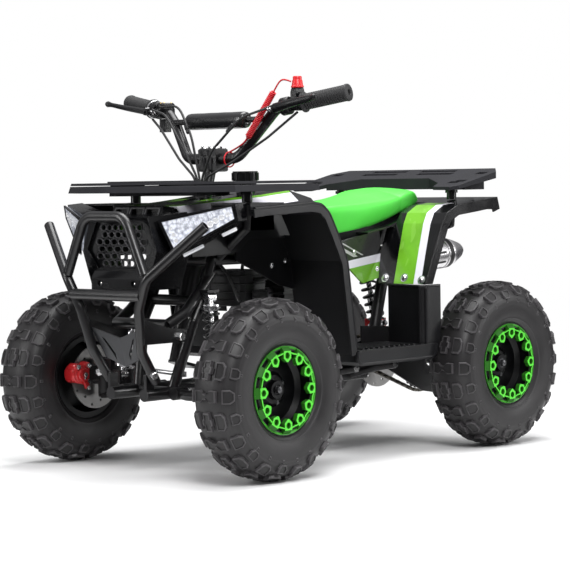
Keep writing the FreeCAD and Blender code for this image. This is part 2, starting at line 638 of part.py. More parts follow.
def frame():
    """Welded tube frame: lower rails, uprights, top rails, rear loop, head tube and cross tubes."""
    foot_x = AXLE_X + ARM_FRONT - 5
    tail = V(-440, RAIL_Y, TOP_RAIL_Z + 52)
    knee = V(-236, RAIL_Y, TOP_RAIL_Z)
    lower = [V(468, NOSE_RAIL_Y, RAIL_Z), V(250, NOSE_RAIL_Y, RAIL_Z), V(180, RAIL_Y, RAIL_Z),
             V(-150, RAIL_Y, RAIL_Z), V(-190, RAIL_Y, RAIL_Z + 90), knee]
    top = [V(SHOCK_HEAD.x - 2, RAIL_Y, 338), V(300, RAIL_Y, TOP_RAIL_Z), knee, tail]
    front_post = [V(foot_x, NOSE_RAIL_Y, RAIL_Z), V(352, RAIL_Y, 300), V(SHOCK_HEAD.x - 2, RAIL_Y, 338)]
    head_brace = [V(425, RAIL_Y, 296), V(380, RAIL_Y + 8, 320), V(300, RAIL_Y, 394)]
    parts = [tube(head_brace, UPRIGHT_R, 50)]
    for points, radius in ((lower, RAIL_R), (top, UPRIGHT_R), (front_post, UPRIGHT_R)):
        parts += mitred(points, radius)
    for x in (20, -104):
        parts += mitred([V(x, RAIL_Y, RAIL_Z), V(x, 150, BOARD_LOW_Z - 18), V(x, 205, BOARD_LOW_Z - ARM_R - PAIR_GAP)], ARM_R)
    for x, root_z, seat_z in ((POST_X, TOP_RAIL_Z, FENDER_DECK_Z - SHELL - 1), (REAR_POST_X, 450, REAR_DECK_Z - 7)):
        parts += mitred([V(x, RAIL_Y, root_z), V(x, POST_Y - 4, seat_z - 46), V(x, POST_Y, seat_z)], ARM_R)
    ear = box(-252, -228, REAR_EYE_HALF + PAIR_GAP, REAR_EYE_HALF + PAIR_GAP + 4, 386, TOP_RAIL_Z)
    foot_in = OUTER_FOOT.y - BUMPER_R - PAIR_GAP
    tab = box(448, 468, NOSE_RAIL_Y, foot_in, RAIL_Z, OUTER_FOOT.z + 14)
    bracket = box(SHOCK_HEAD.x - 16, SHOCK_HEAD.x + 16, RAIL_Y - 6, SHOCK_HEAD.y + 10, SHOCK_HEAD.z + 9.3, SHOCK_HEAD.z + 15)
    parts += [ear, tab, bracket]
    parts += [flip(part) for part in parts]
    for x, z, y in ((foot_x, RAIL_Z, NOSE_RAIL_Y), (-150, RAIL_Z, RAIL_Y), (305, TOP_RAIL_Z, RAIL_Y),
                    (knee.x, knee.z, RAIL_Y), (tail.x, tail.z, RAIL_Y), (425, 296, RAIL_Y + 3.7),
                    (SHOCK_HEAD.x - 2, 338, RAIL_Y)):
        parts.append(rod(V(x, -y, z), V(x, y, z), UPRIGHT_R))
    for x in (-60, 30):
        parts.append(box(x, x + 26, -RAIL_Y, RAIL_Y, RAIL_Z, ENGINE_LOW_Z - PAIR_GAP))
    parts.append(pipe(column_point(330), column_point(180), HEAD_TUBE_R, COLUMN_R + RUN_GAP))
    return parts[0].multiFuse(parts[1:])


def front_bumper():
    """Two outer tubes with open horns, the hoop between them, a crossbar and the side gussets."""
    outer = [HORN_TIP, OUTER_BEND, OUTER_MID, OUTER_LOW, OUTER_FOOT]
    side = tube(outer, BUMPER_R, BUMPER_BEND_R)
    along = (HORN_TIP - OUTER_BEND).normalize()
    side = side.cut(rod(HORN_TIP - along * HORN_DEPTH, HORN_TIP + along, BUMPER_R - 2))
    hoop = tube([HOOP_FOOT, HOOP_TOP, flip_point(HOOP_TOP), flip_point(HOOP_FOOT)], BUMPER_R, BUMPER_BEND_R)
    cross = rod(V(516, -98, CROSSBAR_Z), V(516, 98, CROSSBAR_Z), CROSSBAR_R)
    inner_y = RAIL_Y + UPRIGHT_R + PAIR_GAP
    gusset = side_profile([(386, 262), (386, 286), (440, 292), (502, 312), (500, 262)], inner_y, inner_y + 4)
    return fuse([side, flip(side), hoop, cross, gusset, flip(gusset)])


def engine():
    """Crankcase, gearbox, finned cylinder and the starter's round cover."""
    top = ENGINE_LOW_Z + 124
    crankcase = box(-92, 70, -58, 58, ENGINE_LOW_Z, top)
    gearbox = box(GEAR_X - 16, -92, -44, 46, GEAR_Z - 26, GEAR_Z + 26)
    shaft = rod(V(GEAR_X, 46, GEAR_Z), V(GEAR_X, CHAIN_Y + CHAIN_W, GEAR_Z), 6)
    cylinder = box(-20, 62, -45, 45, top, 398)
    fins = [box(-30, 72, -52, 52, z, z + 4) for z in range(310, 396, 14)]
    starter = rod(V(-20, 58, 240), V(-20, 76, 240), 52)
    boss = rod(V(-20, 76, 240), V(-20, 82, 240), 24)
    return fuse([crankcase, gearbox, shaft, cylinder, starter, boss] + fins)


def skid_plate():
    """Grey chevron plate between the bumper's tubes, with a slanted slot in each half."""
    outline = [V(497, 68.4, 291), V(484, 0, 272), V(497, -68.4, 291), V(476, -50, 232), V(470, 0, 214), V(476, 50, 232)]
    middle = [outline[1], outline[4]]
    halves = []
    for tip, foot in ((outline[0], outline[5]), (outline[2], outline[3])):
        loop = [tip, middle[0], middle[1], foot]
        half = block([loop, [p - V(4, 0, 0) for p in loop]])
        side = math.copysign(1, tip.y)
        slot = [(46, 272), (40, 270), (19, 240), (20, 226), (25, 238)]
        wire = Part.makePolygon([V(440, side * y, z) for y, z in slot + [slot[0]]])
        halves.append(half.cut(Part.Face(wire).extrude(V(80, 0, 0))))
    return fuse(halves)


def front_cowl():
    """Nose of the body: grille surround with its lower bar, scoop and the headlight housings."""
    nose = loft([
        section(482, [(-82, 508), (82, 508), (106, 440), (78, 366), (-78, 366), (-106, 440)]),
        section(400, [(-108, 516), (108, 516), (116, 440), (84, 366), (-84, 366), (-116, 440)]),
    ])
    shell = nose.cut(loft([nose_opening(484, 0), nose_opening(399, 0)]))
    lower_bar = side_profile([(478, 364), (491, 366), (491, 388), (478, 409)], -72, 72)
    for side in (1, -1):
        lower_bar = lower_bar.cut(rod(V(484, side * 48, 377.5), V(495, side * 48, 377.5), 6.5))
    wing = block([
        [V(470, 100, 504), V(455, 126, 434), V(402, 112, 434), V(402, 100, 508)],
        [V(402, 240, 531), V(395, 242, 498), V(366, 238, 500), V(366, 236, 534)],
    ])
    scoop = block([
        [V(440, 76, 500), V(427, 70, 529), V(402, 74, 525), V(402, 78, 500)],
        [V(440, -76, 500), V(427, -70, 529), V(402, -74, 525), V(402, -78, 500)],
    ])
    for y in (-44, 0, 44):
        scoop = scoop.cut(box(424, 450, y - 18, y + 18, 509, 523))
    return fuse([shell, lower_bar, wing, flip(wing), scoop])


def nose_opening(x, gap):
    """Outline of the nose's opening at this distance forward, drawn in by a gap."""
    share = (484 - x) / (484 - 399)
    front = [(-64, 498), (64, 498), (92, 445), (62, 408), (-62, 408), (-92, 445)]
    back = [(-92, 506), (92, 506), (104, 445), (72, 394), (-72, 394), (-104, 445)]
    corners = [(y0 + (y1 - y0) * share, z0 + (z1 - z0) * share) for (y0, z0), (y1, z1) in zip(front, back)]
    return section(x, [(y - math.copysign(gap, y), z - math.copysign(gap, z - 450)) for y, z in corners])


def grille():
    """Mesh of staggered cells in the nose opening."""
    panel = loft([nose_opening(474, 0.3), nose_opening(470, 0.3)])
    cells = []
    for row in range(6):
        z = 417 + row * 14
        reach = 80 - abs(z - 447) * 0.5
        count = 7 if row % 2 else 6
        pitch = 2 * reach / 7
        for index in range(count):
            y = (index - (count - 1) / 2) * pitch
            cells.append(box(460, 480, y - pitch * 0.41, y + pitch * 0.41, z - 5.2, z + 5.2))
    return panel.cut(Part.makeCompound(cells))


def headlights():
    """Left lens, proud of its housing."""
    inner = [V(471, 110, 499), V(456, 133, 440), V(397, 238, 503), V(403, 236, 527)]
    return block([inner, [p + V(7, 4, 0) for p in inner]]).cut(front_cowl())


def hood():
    """Centre cover from the nose to the seat, with the steering slot and the tank's crown."""
    outer = loft([section(x, [(-w, low - 30), (-w, low), (-t, top), (t, top), (w, low), (w, low - 30)])
                  for x, w, t, top, low in HOOD_STATIONS])
    inner = loft([section(x, [(-w + SHELL, low - 32), (-w + SHELL, low - 2), (-t, top - SHELL), (t, top - SHELL),
                              (w - SHELL, low - 2), (w - SHELL, low - 32)]) for x, w, t, top, low in HOOD_STATIONS])
    slot = box(180, 290, -HOOD_SLOT_HALF, HOOD_SLOT_HALF, 480, 600)
    return outer.cut(inner).cut(slot)


def hood_top(x):
    """Height of the hood's crown at this distance forward."""
    for ahead, behind in zip(HOOD_STATIONS, HOOD_STATIONS[1:]):
        if behind[0] <= x <= ahead[0]:
            share = (x - behind[0]) / (ahead[0] - behind[0])
            return behind[3] + (ahead[3] - behind[3]) * share
    return HOOD_STATIONS[0][3]


def fuel_cap():
    """Neck on the hood's crown and a cap with grip ribs."""
    neck_r = CAP_R - 8
    seat_z = hood_top(CAP_X - neck_r) + PAIR_GAP
    neck = rod(V(CAP_X, 0, seat_z), V(CAP_X, 0, CAP_BASE_Z), neck_r)
    cap = rod(V(CAP_X, 0, CAP_BASE_Z), V(CAP_X, 0, CAP_BASE_Z + 20), CAP_R - 2)
    ribs = []
    for index in range(10):
        rib = box(CAP_R - 8, CAP_R, -4, 4, CAP_BASE_Z + 1, CAP_BASE_Z + 17)
        rib.rotate(V(0, 0, 0), V(0, 0, 1), index * 36)
        rib.translate(V(CAP_X, 0, 0))
        ribs.append(rib)
    return fuse([neck, cap] + ribs)


def front_fender():
    """Left fender and leg shield: a thin bent panel with a lip, and the raised block under the rack's post."""
    line = [(74, 222), (100, 412), (130, 470), (152, 508), (172, 524), (200, 528), (320, 524), (365.7, 520)]
    sheet = strip(line, SHELL)
    panel = side_profile(sheet, FENDER_INNER_Y, FENDER_Y)
    knee = side_profile(sheet, SHIELD_INNER_Y, FENDER_INNER_Y + 1).common(box(0, 400, 0, 200, 300, SHIELD_TOP_Z))
    cheek_line = [(94, 352), (102, 412), (128, SHIELD_TOP_Z), (262, SHIELD_TOP_Z), (262, 415), (200, 390), (140, 362)]
    cheek = side_profile(cheek_line, SHIELD_INNER_Y, SHIELD_INNER_Y + SHELL)
    lip = side_profile(strip(line, LIP), FENDER_Y - SHELL, FENDER_Y)
    crown = [(262, 508), (272, FENDER_DECK_Z), (365.7, FENDER_DECK_Z), (365.7, 508)]
    raised = side_profile(crown, FENDER_INNER_Y + 10, FENDER_Y - 10)
    hollow = side_profile([(x + (SHELL if x < 300 else 0), z - SHELL) for x, z in crown], FENDER_INNER_Y + 10 + SHELL,
                          FENDER_Y - 10 - SHELL)
    return fuse([panel, knee, cheek, lip, raised]).cut(hollow)


def footboard():
    """Left foot well: ribbed floor, its band along the outside, and the rounded rear wall."""
    low = BOARD_LOW_Z
    rear = BOARD_REAR_X
    outer = FENDER_Y + 3
    top = low + BOARD_DEPTH
    floor = side_profile([(72, top), (74, low + 20), (76, low + 8), (64, low), (rear + 14, low), (rear, low + 10),
                          (rear - 1, top)], BOARD_INNER_Y, outer)
    pockets = [box(x0, x1, BOARD_INNER_Y + SHELL, outer - SHELL, low - 1, top - SHELL)
               for x0, x1 in ((rear + 24, -118), (-90, 6), (34, 62))]
    floor = floor.cut(Part.makeCompound(pockets))
    ribs = [box(40 - 16 * k, 46 - 16 * k, BOARD_INNER_Y + 14, outer - 14, top - 1, top + 3) for k in range(11)]
    plan = [(rear + 18, BOARD_INNER_Y + 8), (rear + 38, outer - 14), (rear + 28, outer - 4), (rear - 14, outer - 2)]
    inner = [(x - (SHELL if index < 3 else 0), y - (SHELL if index > 0 else 0)) for index, (x, y) in enumerate(plan)]
    outline = plan + inner[::-1]
    wire = Part.makePolygon([V(x, y, low + 4) for x, y in outline + [outline[0]]])
    wall = Part.Face(wire).extrude(V(0, 0, WELL_TOP_Z - low - 4))
    tyre_room = rod(V(-AXLE_X, BOARD_INNER_Y, AXLE_Z), V(-AXLE_X, outer + 5, AXLE_Z), TYRE_R + BOARD_GAP)
    return fuse([floor, wall] + ribs).cut(tyre_room)


def side_panel():
    """Left panel under the seat."""
    y = PANEL_Y
    outline = [V(-40, y - 2, 441), V(-60, y, 410), V(-98, y, 376), V(-128, y, 353), V(-184, y, 363), V(-188, y, 425), V(-184, y, 464),
               V(-100, y - 2, 452)]
    panel = block([outline, [p - V(0, SHELL, 0) for p in outline]])
    pegs = [rod(V(x, GUARD_Y - 1.5, TOP_RAIL_Z), V(x, y - SHELL + 1, TOP_RAIL_Z), 5) for x in (-110, -165)]
    return fuse([panel] + pegs)


def rear_body():
    """Rear moulding: the deck under the seat and, each side, the striped front wall, knee and tail."""
    line = [(-409, 505), (-401, 531), (-330, 523), (-262, 516), (-228, 500), (-212, 478), (-186, 423),
            (BOARD_REAR_X + 22, WELL_TOP_Z + PAIR_GAP)]
    panel = side_profile(strip(line, SHELL), 118, REAR_BODY_Y)
    lip = side_profile(strip(line, REAR_LIP), REAR_BODY_Y - SHELL, REAR_BODY_Y)
    floor_cut = box(-260, 0, 0, 300, WELL_TOP_Z - 60, WELL_TOP_Z + PAIR_GAP)
    side = fuse([panel, lip]).cut(floor_cut)
    cheek = block([[V(x, 118.5, z), V(x, y, z), V(x - SHELL, y, z), V(x - SHELL, 118.5, z)]
                   for x, y, z in ((-154, 116, 352.6), (-186, 97.5, 423), (-208, 97.5, 470))])
    side = side.fuse(cheek)
    deck = side_profile(strip([(-400, 531), (-345, 521), (-190, 473.5), (-120, 461.7)], SHELL), -118, 118)
    return fuse([side, flip(side), deck])


def seat():
    stations = (
        (-14, 56, 452, 512), (-80, 82, 455, 530), (-180, 96, 472, 550), (-260, SEAT_HALF_W, 496, 560),
        (-306, 100, 510, 556), (-326, 86, 520, 544),
    )
    loops = []
    for x, w, low, top in stations:
        side = 0.35 * (top - low)
        loops.append([V(x, y, z) for y, z in (
            (-w + 6, low), (-w, low + side), (-w + 4, top - side), (-w + 24, top), (w - 24, top),
            (w - 4, top - side), (w, low + side), (w - 6, low))])
    return block(loops)


def front_rack():
    """Moulded rack tray: a plate with a skirt round its edge, slots, a raised pad and the frame plate below."""
    base_z = RACK_TOP_Z - RACK_SKIRT
    outline = [V(RACK_FRONT_X, 54, base_z), V(452, 150, base_z), V(400, RACK_HALF_W, base_z),
               V(160, RACK_HALF_W, base_z), V(143, 222, base_z), V(143, 120, base_z), V(178, 70, base_z)]
    outline += [flip_point(p) for p in reversed(outline)]
    wire = Part.makePolygon(outline + [outline[0]])
    brow = wire.makeOffset2D(-RACK_FLARE)
    brow.translate(V(0, 0, RACK_SKIRT))
    tray = loft([wire, brow])
    inside = Part.Face(wire.makeOffset2D(-RACK_WALL)).extrude(V(0, 0, RACK_SKIRT - RACK_PLATE))
    cuts = [inside, box(150, 300, -HOOD_SLOT_HALF - 22, HOOD_SLOT_HALF + 22, base_z - 10, RACK_TOP_Z + 10)]
    for x0, x1, y0, y1 in RACK_SLOTS:
        slot = box(x0, x1, y0, y1, base_z, RACK_TOP_Z + 10)
        cuts += [slot, flip(slot)]
    for x in RACK_HOLE_X:
        hole = rod(V(x, RACK_HOLE_Y, base_z), V(x, RACK_HOLE_Y, RACK_TOP_Z + 10), RACK_HOLE_R)
        cuts += [hole, flip(hole)]
    shape = tray.cut(Part.makeCompound(cuts))
    frame_plate = box(300, 390, -126, 126, base_z - 7, base_z)
    webs = [box(300, 390, y - 3, y + 3, base_z, RACK_TOP_Z - RACK_PLATE) for y in (-120, 120)]
    rails = [box(150, 320, y - 3, y + 3, base_z, RACK_TOP_Z - RACK_PLATE) for y in (-52, 52)]
    pad = box(310, 462, -52, 52, RACK_TOP_Z, RACK_TOP_Z + 3)
    return fuse([shape, frame_plate, pad] + webs + rails)


def rack_height(x):
    """Height of the rear rack's sloped top at this distance forward."""
    return REAR_RACK_Z + (REAR_RACK_X - x) * math.tan(math.radians(REAR_RACK_TILT))


def rear_rack():
    """Moulded rear rack, tilted up to the rear, recessed behind the seat, with its slots and side ribs."""
    front = REAR_RACK_X + 85
    rear = REAR_RACK_X - 90
    top = [(front, rack_height(front)), (rear, rack_height(rear))]
    low = [(rear, rack_height(rear) - 16), (front, rack_height(front) - 7)]
    plank = side_profile(top + low, -RACK_HALF_W, RACK_HALF_W)
    deep = side_profile([(front, rack_height(front)), (REAR_RACK_X - 6, rack_height(REAR_RACK_X - 6)),
                         (REAR_RACK_X - 6, REAR_RACK_Z - 24), (front, REAR_RACK_Z - 24)], -RACK_HALF_W, RACK_HALF_W)
    outline = [V(REAR_RACK_X, 98, 0), V(front - 38, 162, 0), V(front - 4, 176, 0), V(front, 224, 0),
               V(front - 12, RACK_HALF_W, 0), V(rear + 34, RACK_HALF_W, 0), V(rear, 212, 0)]
    outline += [flip_point(p) for p in reversed(outline)]
    plan = Part.Face(Part.makePolygon(outline + [outline[0]])).extrude(V(0, 0, 700))
    shape = plank.common(plan)
    recess = [V(REAR_RACK_X, 98, 0), V(front - 38, 162, 0), V(front - 42, 166, 0), V(REAR_RACK_X - 4, 100, 0)]
    recess = [flip_point(p) for p in recess[:2]][::-1] + recess + [flip_point(recess[3]), flip_point(recess[2])]
    skirt = Part.Face(Part.makePolygon(recess + [recess[0]])).extrude(V(0, 0, 700)).common(deep)
    ribs = []
    for y in (146, 176):
        rib = side_profile([(REAR_RACK_X - 20, REAR_RACK_Z - 26), (rear, REAR_RACK_Z - 26), (rear, rack_height(rear) - 8),
                            (REAR_RACK_X - 20, rack_height(REAR_RACK_X - 20) - 6)], y, y + 4)
        ribs += [rib, flip(rib)]
    cuts = []
    for x0, x1, y0, y1 in REAR_SLOTS:
        slot = box(x0, x1, y0, y1, 500, 640)
        cuts += [slot, flip(slot)]
    return fuse([shape, skirt] + ribs).cut(Part.makeCompound(cuts))


def rack_posts():
    """Four posts between the fenders and the racks, each with a wider collar below the rack."""
    posts = []
    for x, low, high, rack in ((POST_X, FENDER_DECK_Z, RACK_TOP_Z - RACK_PLATE, None),
                               (REAR_POST_X, REAR_DECK_Z, REAR_RACK_Z - 4, rear_rack())):
        post = rod(V(x, POST_Y, low + PAIR_GAP), V(x, POST_Y, high), POST_R)
        collar_z = high - 22 if rack is None else REAR_RACK_Z - 32
        post = post.fuse(rod(V(x, POST_Y, collar_z), V(x, POST_Y, collar_z + 6), POST_R + 3))
        posts.append(post.cut(rack) if rack else post)
    return Part.makeCompound(posts + [flip(post) for post in posts])


def swing_arm():
    """Rear arm: two flat sides with the axle's bearing tube, the shock's ears and the caliper's bracket."""
    pivot_x = -158
    pivot_z = RAIL_Z + 56
    half = ARM_SIDE_Y + ARM_SIDE_T / 2
    side = side_profile([(pivot_x + 16, pivot_z + 14), (pivot_x + 16, pivot_z - 11), (-AXLE_X - 22, AXLE_Z - 24),
                         (-AXLE_X - 22, AXLE_Z + 24)], ARM_SIDE_Y, ARM_SIDE_Y + ARM_SIDE_T)
    tie = rod(V(REAR_FOOT.x, -half, REAR_FOOT.z - 28), V(REAR_FOOT.x, half, REAR_FOOT.z - 28), 12)
    pivot = rod(V(pivot_x, -RAIL_Y + RAIL_R + PAIR_GAP, pivot_z), V(pivot_x, RAIL_Y - RAIL_R - PAIR_GAP, pivot_z), 11)
    reach = ARM_SIDE_Y + ARM_SIDE_T + 1
    housing = rod(V(-AXLE_X, -reach, AXLE_Z), V(-AXLE_X, reach, AXLE_Z), 26)
    ear = box(REAR_FOOT.x - 12, REAR_FOOT.x + 12, REAR_EYE_HALF + PAIR_GAP, REAR_EYE_HALF + PAIR_GAP + 4,
              REAR_FOOT.z - 28, REAR_FOOT.z + 10)
    bracket = box(-AXLE_X - 20, -AXLE_X + 16, -REAR_DISC_Y + DISC_THICK + 4, -ARM_SIDE_Y, AXLE_Z + 10, AXLE_Z + 52)
    shape = fuse([side, flip(side), tie, pivot, housing, ear, flip(ear), bracket])
    return shape.cut(rod(V(-AXLE_X, -90, AXLE_Z), V(-AXLE_X, 90, AXLE_Z), AXLE_R + RUN_GAP))


def rear_shock():
    return coil_over(REAR_FOOT, V(-240, 0, 396), V(0, REAR_EYE_HALF, 0), 20)


def rear_caliper():
    """Rear caliper over the top edge of the rear disc."""
    disc_out = -REAR_DISC_Y
    disc_in = disc_out + DISC_THICK
    x0 = -AXLE_X - 24
    x1 = -AXLE_X + 24
    edge = AXLE_Z + REAR_DISC_R
    cheek_in = box(x0, x1, disc_in + 1.5, disc_in + 4 - PAIR_GAP, edge - 26, edge + 16)
    cheek_out = box(x0, x1, disc_out - 14, disc_out - 1.5, edge - 26, edge + 16)
    bridge = box(x0, x1, disc_out - 14, disc_in + 4 - PAIR_GAP, edge + 4, edge + 16)
    piston = rod(V(-AXLE_X, disc_out - 24, edge - 8), V(-AXLE_X, disc_out - 13, edge - 8), 13)
    return fuse([cheek_in, cheek_out, bridge, piston])


def rear_brake_disc():
    disc = brake_disc(REAR_DISC_R, AXLE_R)
    disc.translate(V(-AXLE_X, -REAR_DISC_Y, AXLE_Z))
    return disc


def sprocket():
    """Rear sprocket with pointed teeth and lightening holes."""
    corners = []
    for index in range(2 * SPROCKET_TEETH):
        angle = index * math.pi / SPROCKET_TEETH
        radius = SPROCKET_R if index % 2 else SPROCKET_R - 4
        corners.append(V(radius * math.cos(angle) - AXLE_X, CHAIN_Y + 1, radius * math.sin(angle) + AXLE_Z))
    wheel = Part.Face(Part.makePolygon(corners + [corners[0]])).extrude(V(0, CHAIN_W - 2, 0))
    cuts = [rod(V(-AXLE_X, CHAIN_Y, AXLE_Z), V(-AXLE_X, CHAIN_Y + CHAIN_W, AXLE_Z), AXLE_R)]
    for index in range(5):
        angle = index * 2 * math.pi / 5
        at = V(38 * math.cos(angle) - AXLE_X, CHAIN_Y, 38 * math.sin(angle) + AXLE_Z)
        cuts.append(rod(at, at + V(0, CHAIN_W, 0), 11))
    return wheel.cut(Part.makeCompound(cuts))


def chain():
    """Drive chain as one band round both sprockets."""
    front = V(GEAR_X, 0, GEAR_Z)
    rear = V(-AXLE_X, 0, AXLE_Z)
    inner_r = SPROCKET_R + 0.5
    outer = belt_face(front, GEAR_R + CHAIN_H, rear, inner_r + CHAIN_H, CHAIN_Y)
    inner = belt_face(front, GEAR_R, rear, inner_r, CHAIN_Y)
    return outer.cut(inner).extrude(V(0, CHAIN_W, 0))


def muffler():
    """Silencer can with its end cone, on a bracket that reaches the frame's rear tube."""
    start = V(-230, MUFFLER_Y, 398)
    end = V(-372, MUFFLER_Y, 410)
    along = (end - start).normalize()
    can = rod(start, end, MUFFLER_R)
    cone = Part.makeCone(MUFFLER_R, 17, 44, end, along)
    outlet = rod(end + along * 40, end + along * 52, 12)
    bracket = box(-330, -310, RAIL_Y + UPRIGHT_R + PAIR_GAP, MUFFLER_Y, 425, 445)
    return fuse([can, cone, outlet, bracket])


def rear_axle():
    """Solid axle, with a spacer collar beside the sprocket and the disc."""
    reach = REAR_TRACK / 2 + HUB_OUTER - 2
    shaft = rod(V(-AXLE_X, -reach, AXLE_Z), V(-AXLE_X, reach, AXLE_Z), AXLE_R)
    return shaft


def chain_guard():
    """Flat cover outside the chain, from the gearbox to round the rear sprocket."""
    outline = [(-130, 262), (-130, 206), (-AXLE_X + 28, AXLE_Z - 68), (-AXLE_X - 31, AXLE_Z - 78),
               (-AXLE_X - 52, AXLE_Z - 36), (-AXLE_X - 52, AXLE_Z + 30), (-AXLE_X + 28, AXLE_Z + 74)]
    cover = side_profile(outline, GUARD_Y, GUARD_Y + 3)
    return cover.cut(rod(V(-AXLE_X, GUARD_Y - 5, AXLE_Z), V(-AXLE_X, GUARD_Y + 9, AXLE_Z), AXLE_R + 5))


def place(shape, x, y, right):
    """Move a wheel piece to its place, mirrored on the right side."""
    moved = shape.copy()
    if right:
        moved = flip(moved)
    moved.translate(V(x, -y if right else y, AXLE_Z))
    return moved


def pair(shape):
    return Part.makeCompound([shape, flip(shape)])


def build():
    nodes = {}
    front = front_wheel()
    for side, right in (("left", False), ("right", True)):
        for name, shape in front.items():
            nodes[f"front_{name}_{side}"] = place(shape, AXLE_X, FRONT_TRACK / 2, right)
        turn = flip if right else (lambda shape: shape)
        nodes[f"knuckle_{side}"] = turn(knuckle())
        nodes[f"front_caliper_{side}"] = turn(front_caliper())
        nodes[f"tie_rod_{side}"] = turn(tie_rod())
        nodes[f"footboard_{side}"] = turn(footboard())
        nodes[f"front_fender_{side}"] = turn(front_fender())
    rear_rim = rim(HUB_INNER, HUB_OUTER, AXLE_R)
    for name, shape in (("tyres", front["tyre"]), ("rims", rear_rim), ("bead_rings", front["bead_ring"])):
        nodes[f"rear_{name}"] = Part.makeCompound(
            [place(shape, -AXLE_X, REAR_TRACK / 2, right) for right in (False, True)])
    nodes["rear_axle"] = rear_axle()
    nodes["frame"] = frame()
    nodes["front_bumper"] = front_bumper()
    nodes["front_arms"] = pair(front_arm())
    nodes["front_shocks"] = pair(front_shock())
    nodes["skid_plate"] = skid_plate()
    nodes["engine"] = engine()
    nodes["front_cowl"] = front_cowl()
    nodes["grille"] = grille()
    nodes["headlights"] = pair(headlights())
    nodes["hood"] = hood()
    nodes["fuel_cap"] = fuel_cap()
    nodes["side_panels"] = pair(side_panel())
    nodes["rear_body"] = rear_body()
    nodes["seat"] = seat()
    nodes["front_rack"] = front_rack()
    nodes["rear_rack"] = rear_rack()
    nodes["rack_posts"] = rack_posts()
    nodes["swing_arm"] = swing_arm()
    nodes["rear_shock"] = rear_shock()
    nodes["muffler"] = muffler()
    nodes["chain_guard"] = chain_guard()
    nodes["rear_brake_disc"] = rear_brake_disc()
    nodes["rear_caliper"] = rear_caliper()
    nodes["sprocket"] = sprocket()
    nodes["chain"] = chain()
    nodes["bar_controls"] = bar_controls()
    nodes["kill_switch_cap"] = kill_switch_cap()
    nodes["tether"] = tether()
    nodes["control_cables"] = control_cables()
    nodes["steering_column"] = steering_column()
    nodes["handlebar"] = handlebar()
    nodes["grips"] = grips()
    nodes["bar_pad"] = bar_pad()
    nodes["brake_levers"] = brake_levers()
    return nodes


os.makedirs("parts", exist_ok=True)
for node, shape in build().items():
    if not shape.isValid():
        print("not valid:", node)
    shape.exportStep(f"parts/{node}.step")
    print(f"{node:24s} solids {len(shape.Solids)}  volume {shape.Volume / 1000:9.1f} cm3")
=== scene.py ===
# Children's quad bike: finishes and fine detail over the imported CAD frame. Metres, +X front, +Y rider's left.
import math

import bmesh
import bpy
from mathutils.bvhtree import BVHTree
from mathutils import Matrix, Vector


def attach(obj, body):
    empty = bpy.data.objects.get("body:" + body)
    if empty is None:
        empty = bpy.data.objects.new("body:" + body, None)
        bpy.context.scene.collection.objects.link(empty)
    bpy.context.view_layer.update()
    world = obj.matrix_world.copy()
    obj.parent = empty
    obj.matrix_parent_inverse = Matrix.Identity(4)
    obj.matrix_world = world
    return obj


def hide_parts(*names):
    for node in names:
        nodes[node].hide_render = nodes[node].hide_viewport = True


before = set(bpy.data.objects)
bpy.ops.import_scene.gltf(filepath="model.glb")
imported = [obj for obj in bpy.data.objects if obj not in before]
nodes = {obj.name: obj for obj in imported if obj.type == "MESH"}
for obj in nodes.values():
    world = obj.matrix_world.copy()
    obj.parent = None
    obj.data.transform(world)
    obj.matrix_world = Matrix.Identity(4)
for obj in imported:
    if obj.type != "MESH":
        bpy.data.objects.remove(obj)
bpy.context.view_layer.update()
print("frame loaded:", len(nodes), "nodes")

layout = {"axleX": 0.3575, "axleZ": 0.176, "frontY": 0.280, "rearY": 0.265}
mirrored = Matrix.Scale(-1, 4, (0, 1, 0))
show = bpy.context.scene.collection.objects.link


def mm(*values):
    return Vector([v / 1000 for v in values])


def flipped(point):
    return Vector((point[0], -point[1], point[2]))


colours = {
    "plasticBlack": (0.0030, 0.0030, 0.0036), "grainBlack": (0.0055, 0.0055, 0.0064),
    # the pale edge colour of the tyres is part scuff and part painted highlight
    "powderBlack": (0.0065, 0.0062, 0.0070), "rubber": (0.0095, 0.0086, 0.0094), "scuffAndHighlight": (0.050, 0.047, 0.050),
    "ringGreen": (0.095, 0.640, 0.045), "seatGreen": (0.075, 0.660, 0.055),
    "bandGreen": (0.150, 0.420, 0.022), "bandWhite": (0.78, 0.77, 0.84), "slashGrey": (0.42, 0.43, 0.42),
    "red": (0.62, 0.018, 0.022), "steel": (0.62, 0.61, 0.60), "zinc": (0.70, 0.70, 0.71),
    "alloy": (0.50, 0.50, 0.51),
}


def newFinish(name):
    material = bpy.data.materials.new(name)
    material.use_nodes = True
    tree = material.node_tree
    tree.nodes.clear()
    output = tree.nodes.new("ShaderNodeOutputMaterial")
    shader = tree.nodes.new("ShaderNodeBsdfPrincipled")
    tree.links.new(shader.outputs["BSDF"], output.inputs["Surface"])
    coords = tree.nodes.new("ShaderNodeTexCoord")
    return material, tree, shader, coords.outputs["Object"]


def maths(tree, operation, first, second=None, third=None):
    node = tree.nodes.new("ShaderNodeMath")
    node.operation = operation
    for socket, value in zip(node.inputs, (first, second, third)):
        if value is None:
            continue
        if hasattr(value, "is_output"):
            tree.links.new(value, socket)
        else:
            socket.default_value = value
    return node.outputs[0]


def noiseOf(tree, coords, scale, detail=3.0, stretch=None):
    if stretch:
        mapping = tree.nodes.new("ShaderNodeMapping")
        mapping.inputs["Scale"].default_value = stretch
        tree.links.new(coords, mapping.inputs["Vector"])
        coords = mapping.outputs["Vector"]
    noise = tree.nodes.new("ShaderNodeTexNoise")
    noise.inputs["Scale"].default_value = scale
    noise.inputs["Detail"].default_value = detail
    tree.links.new(coords, noise.inputs["Vector"])
    return noise.outputs["Fac"]


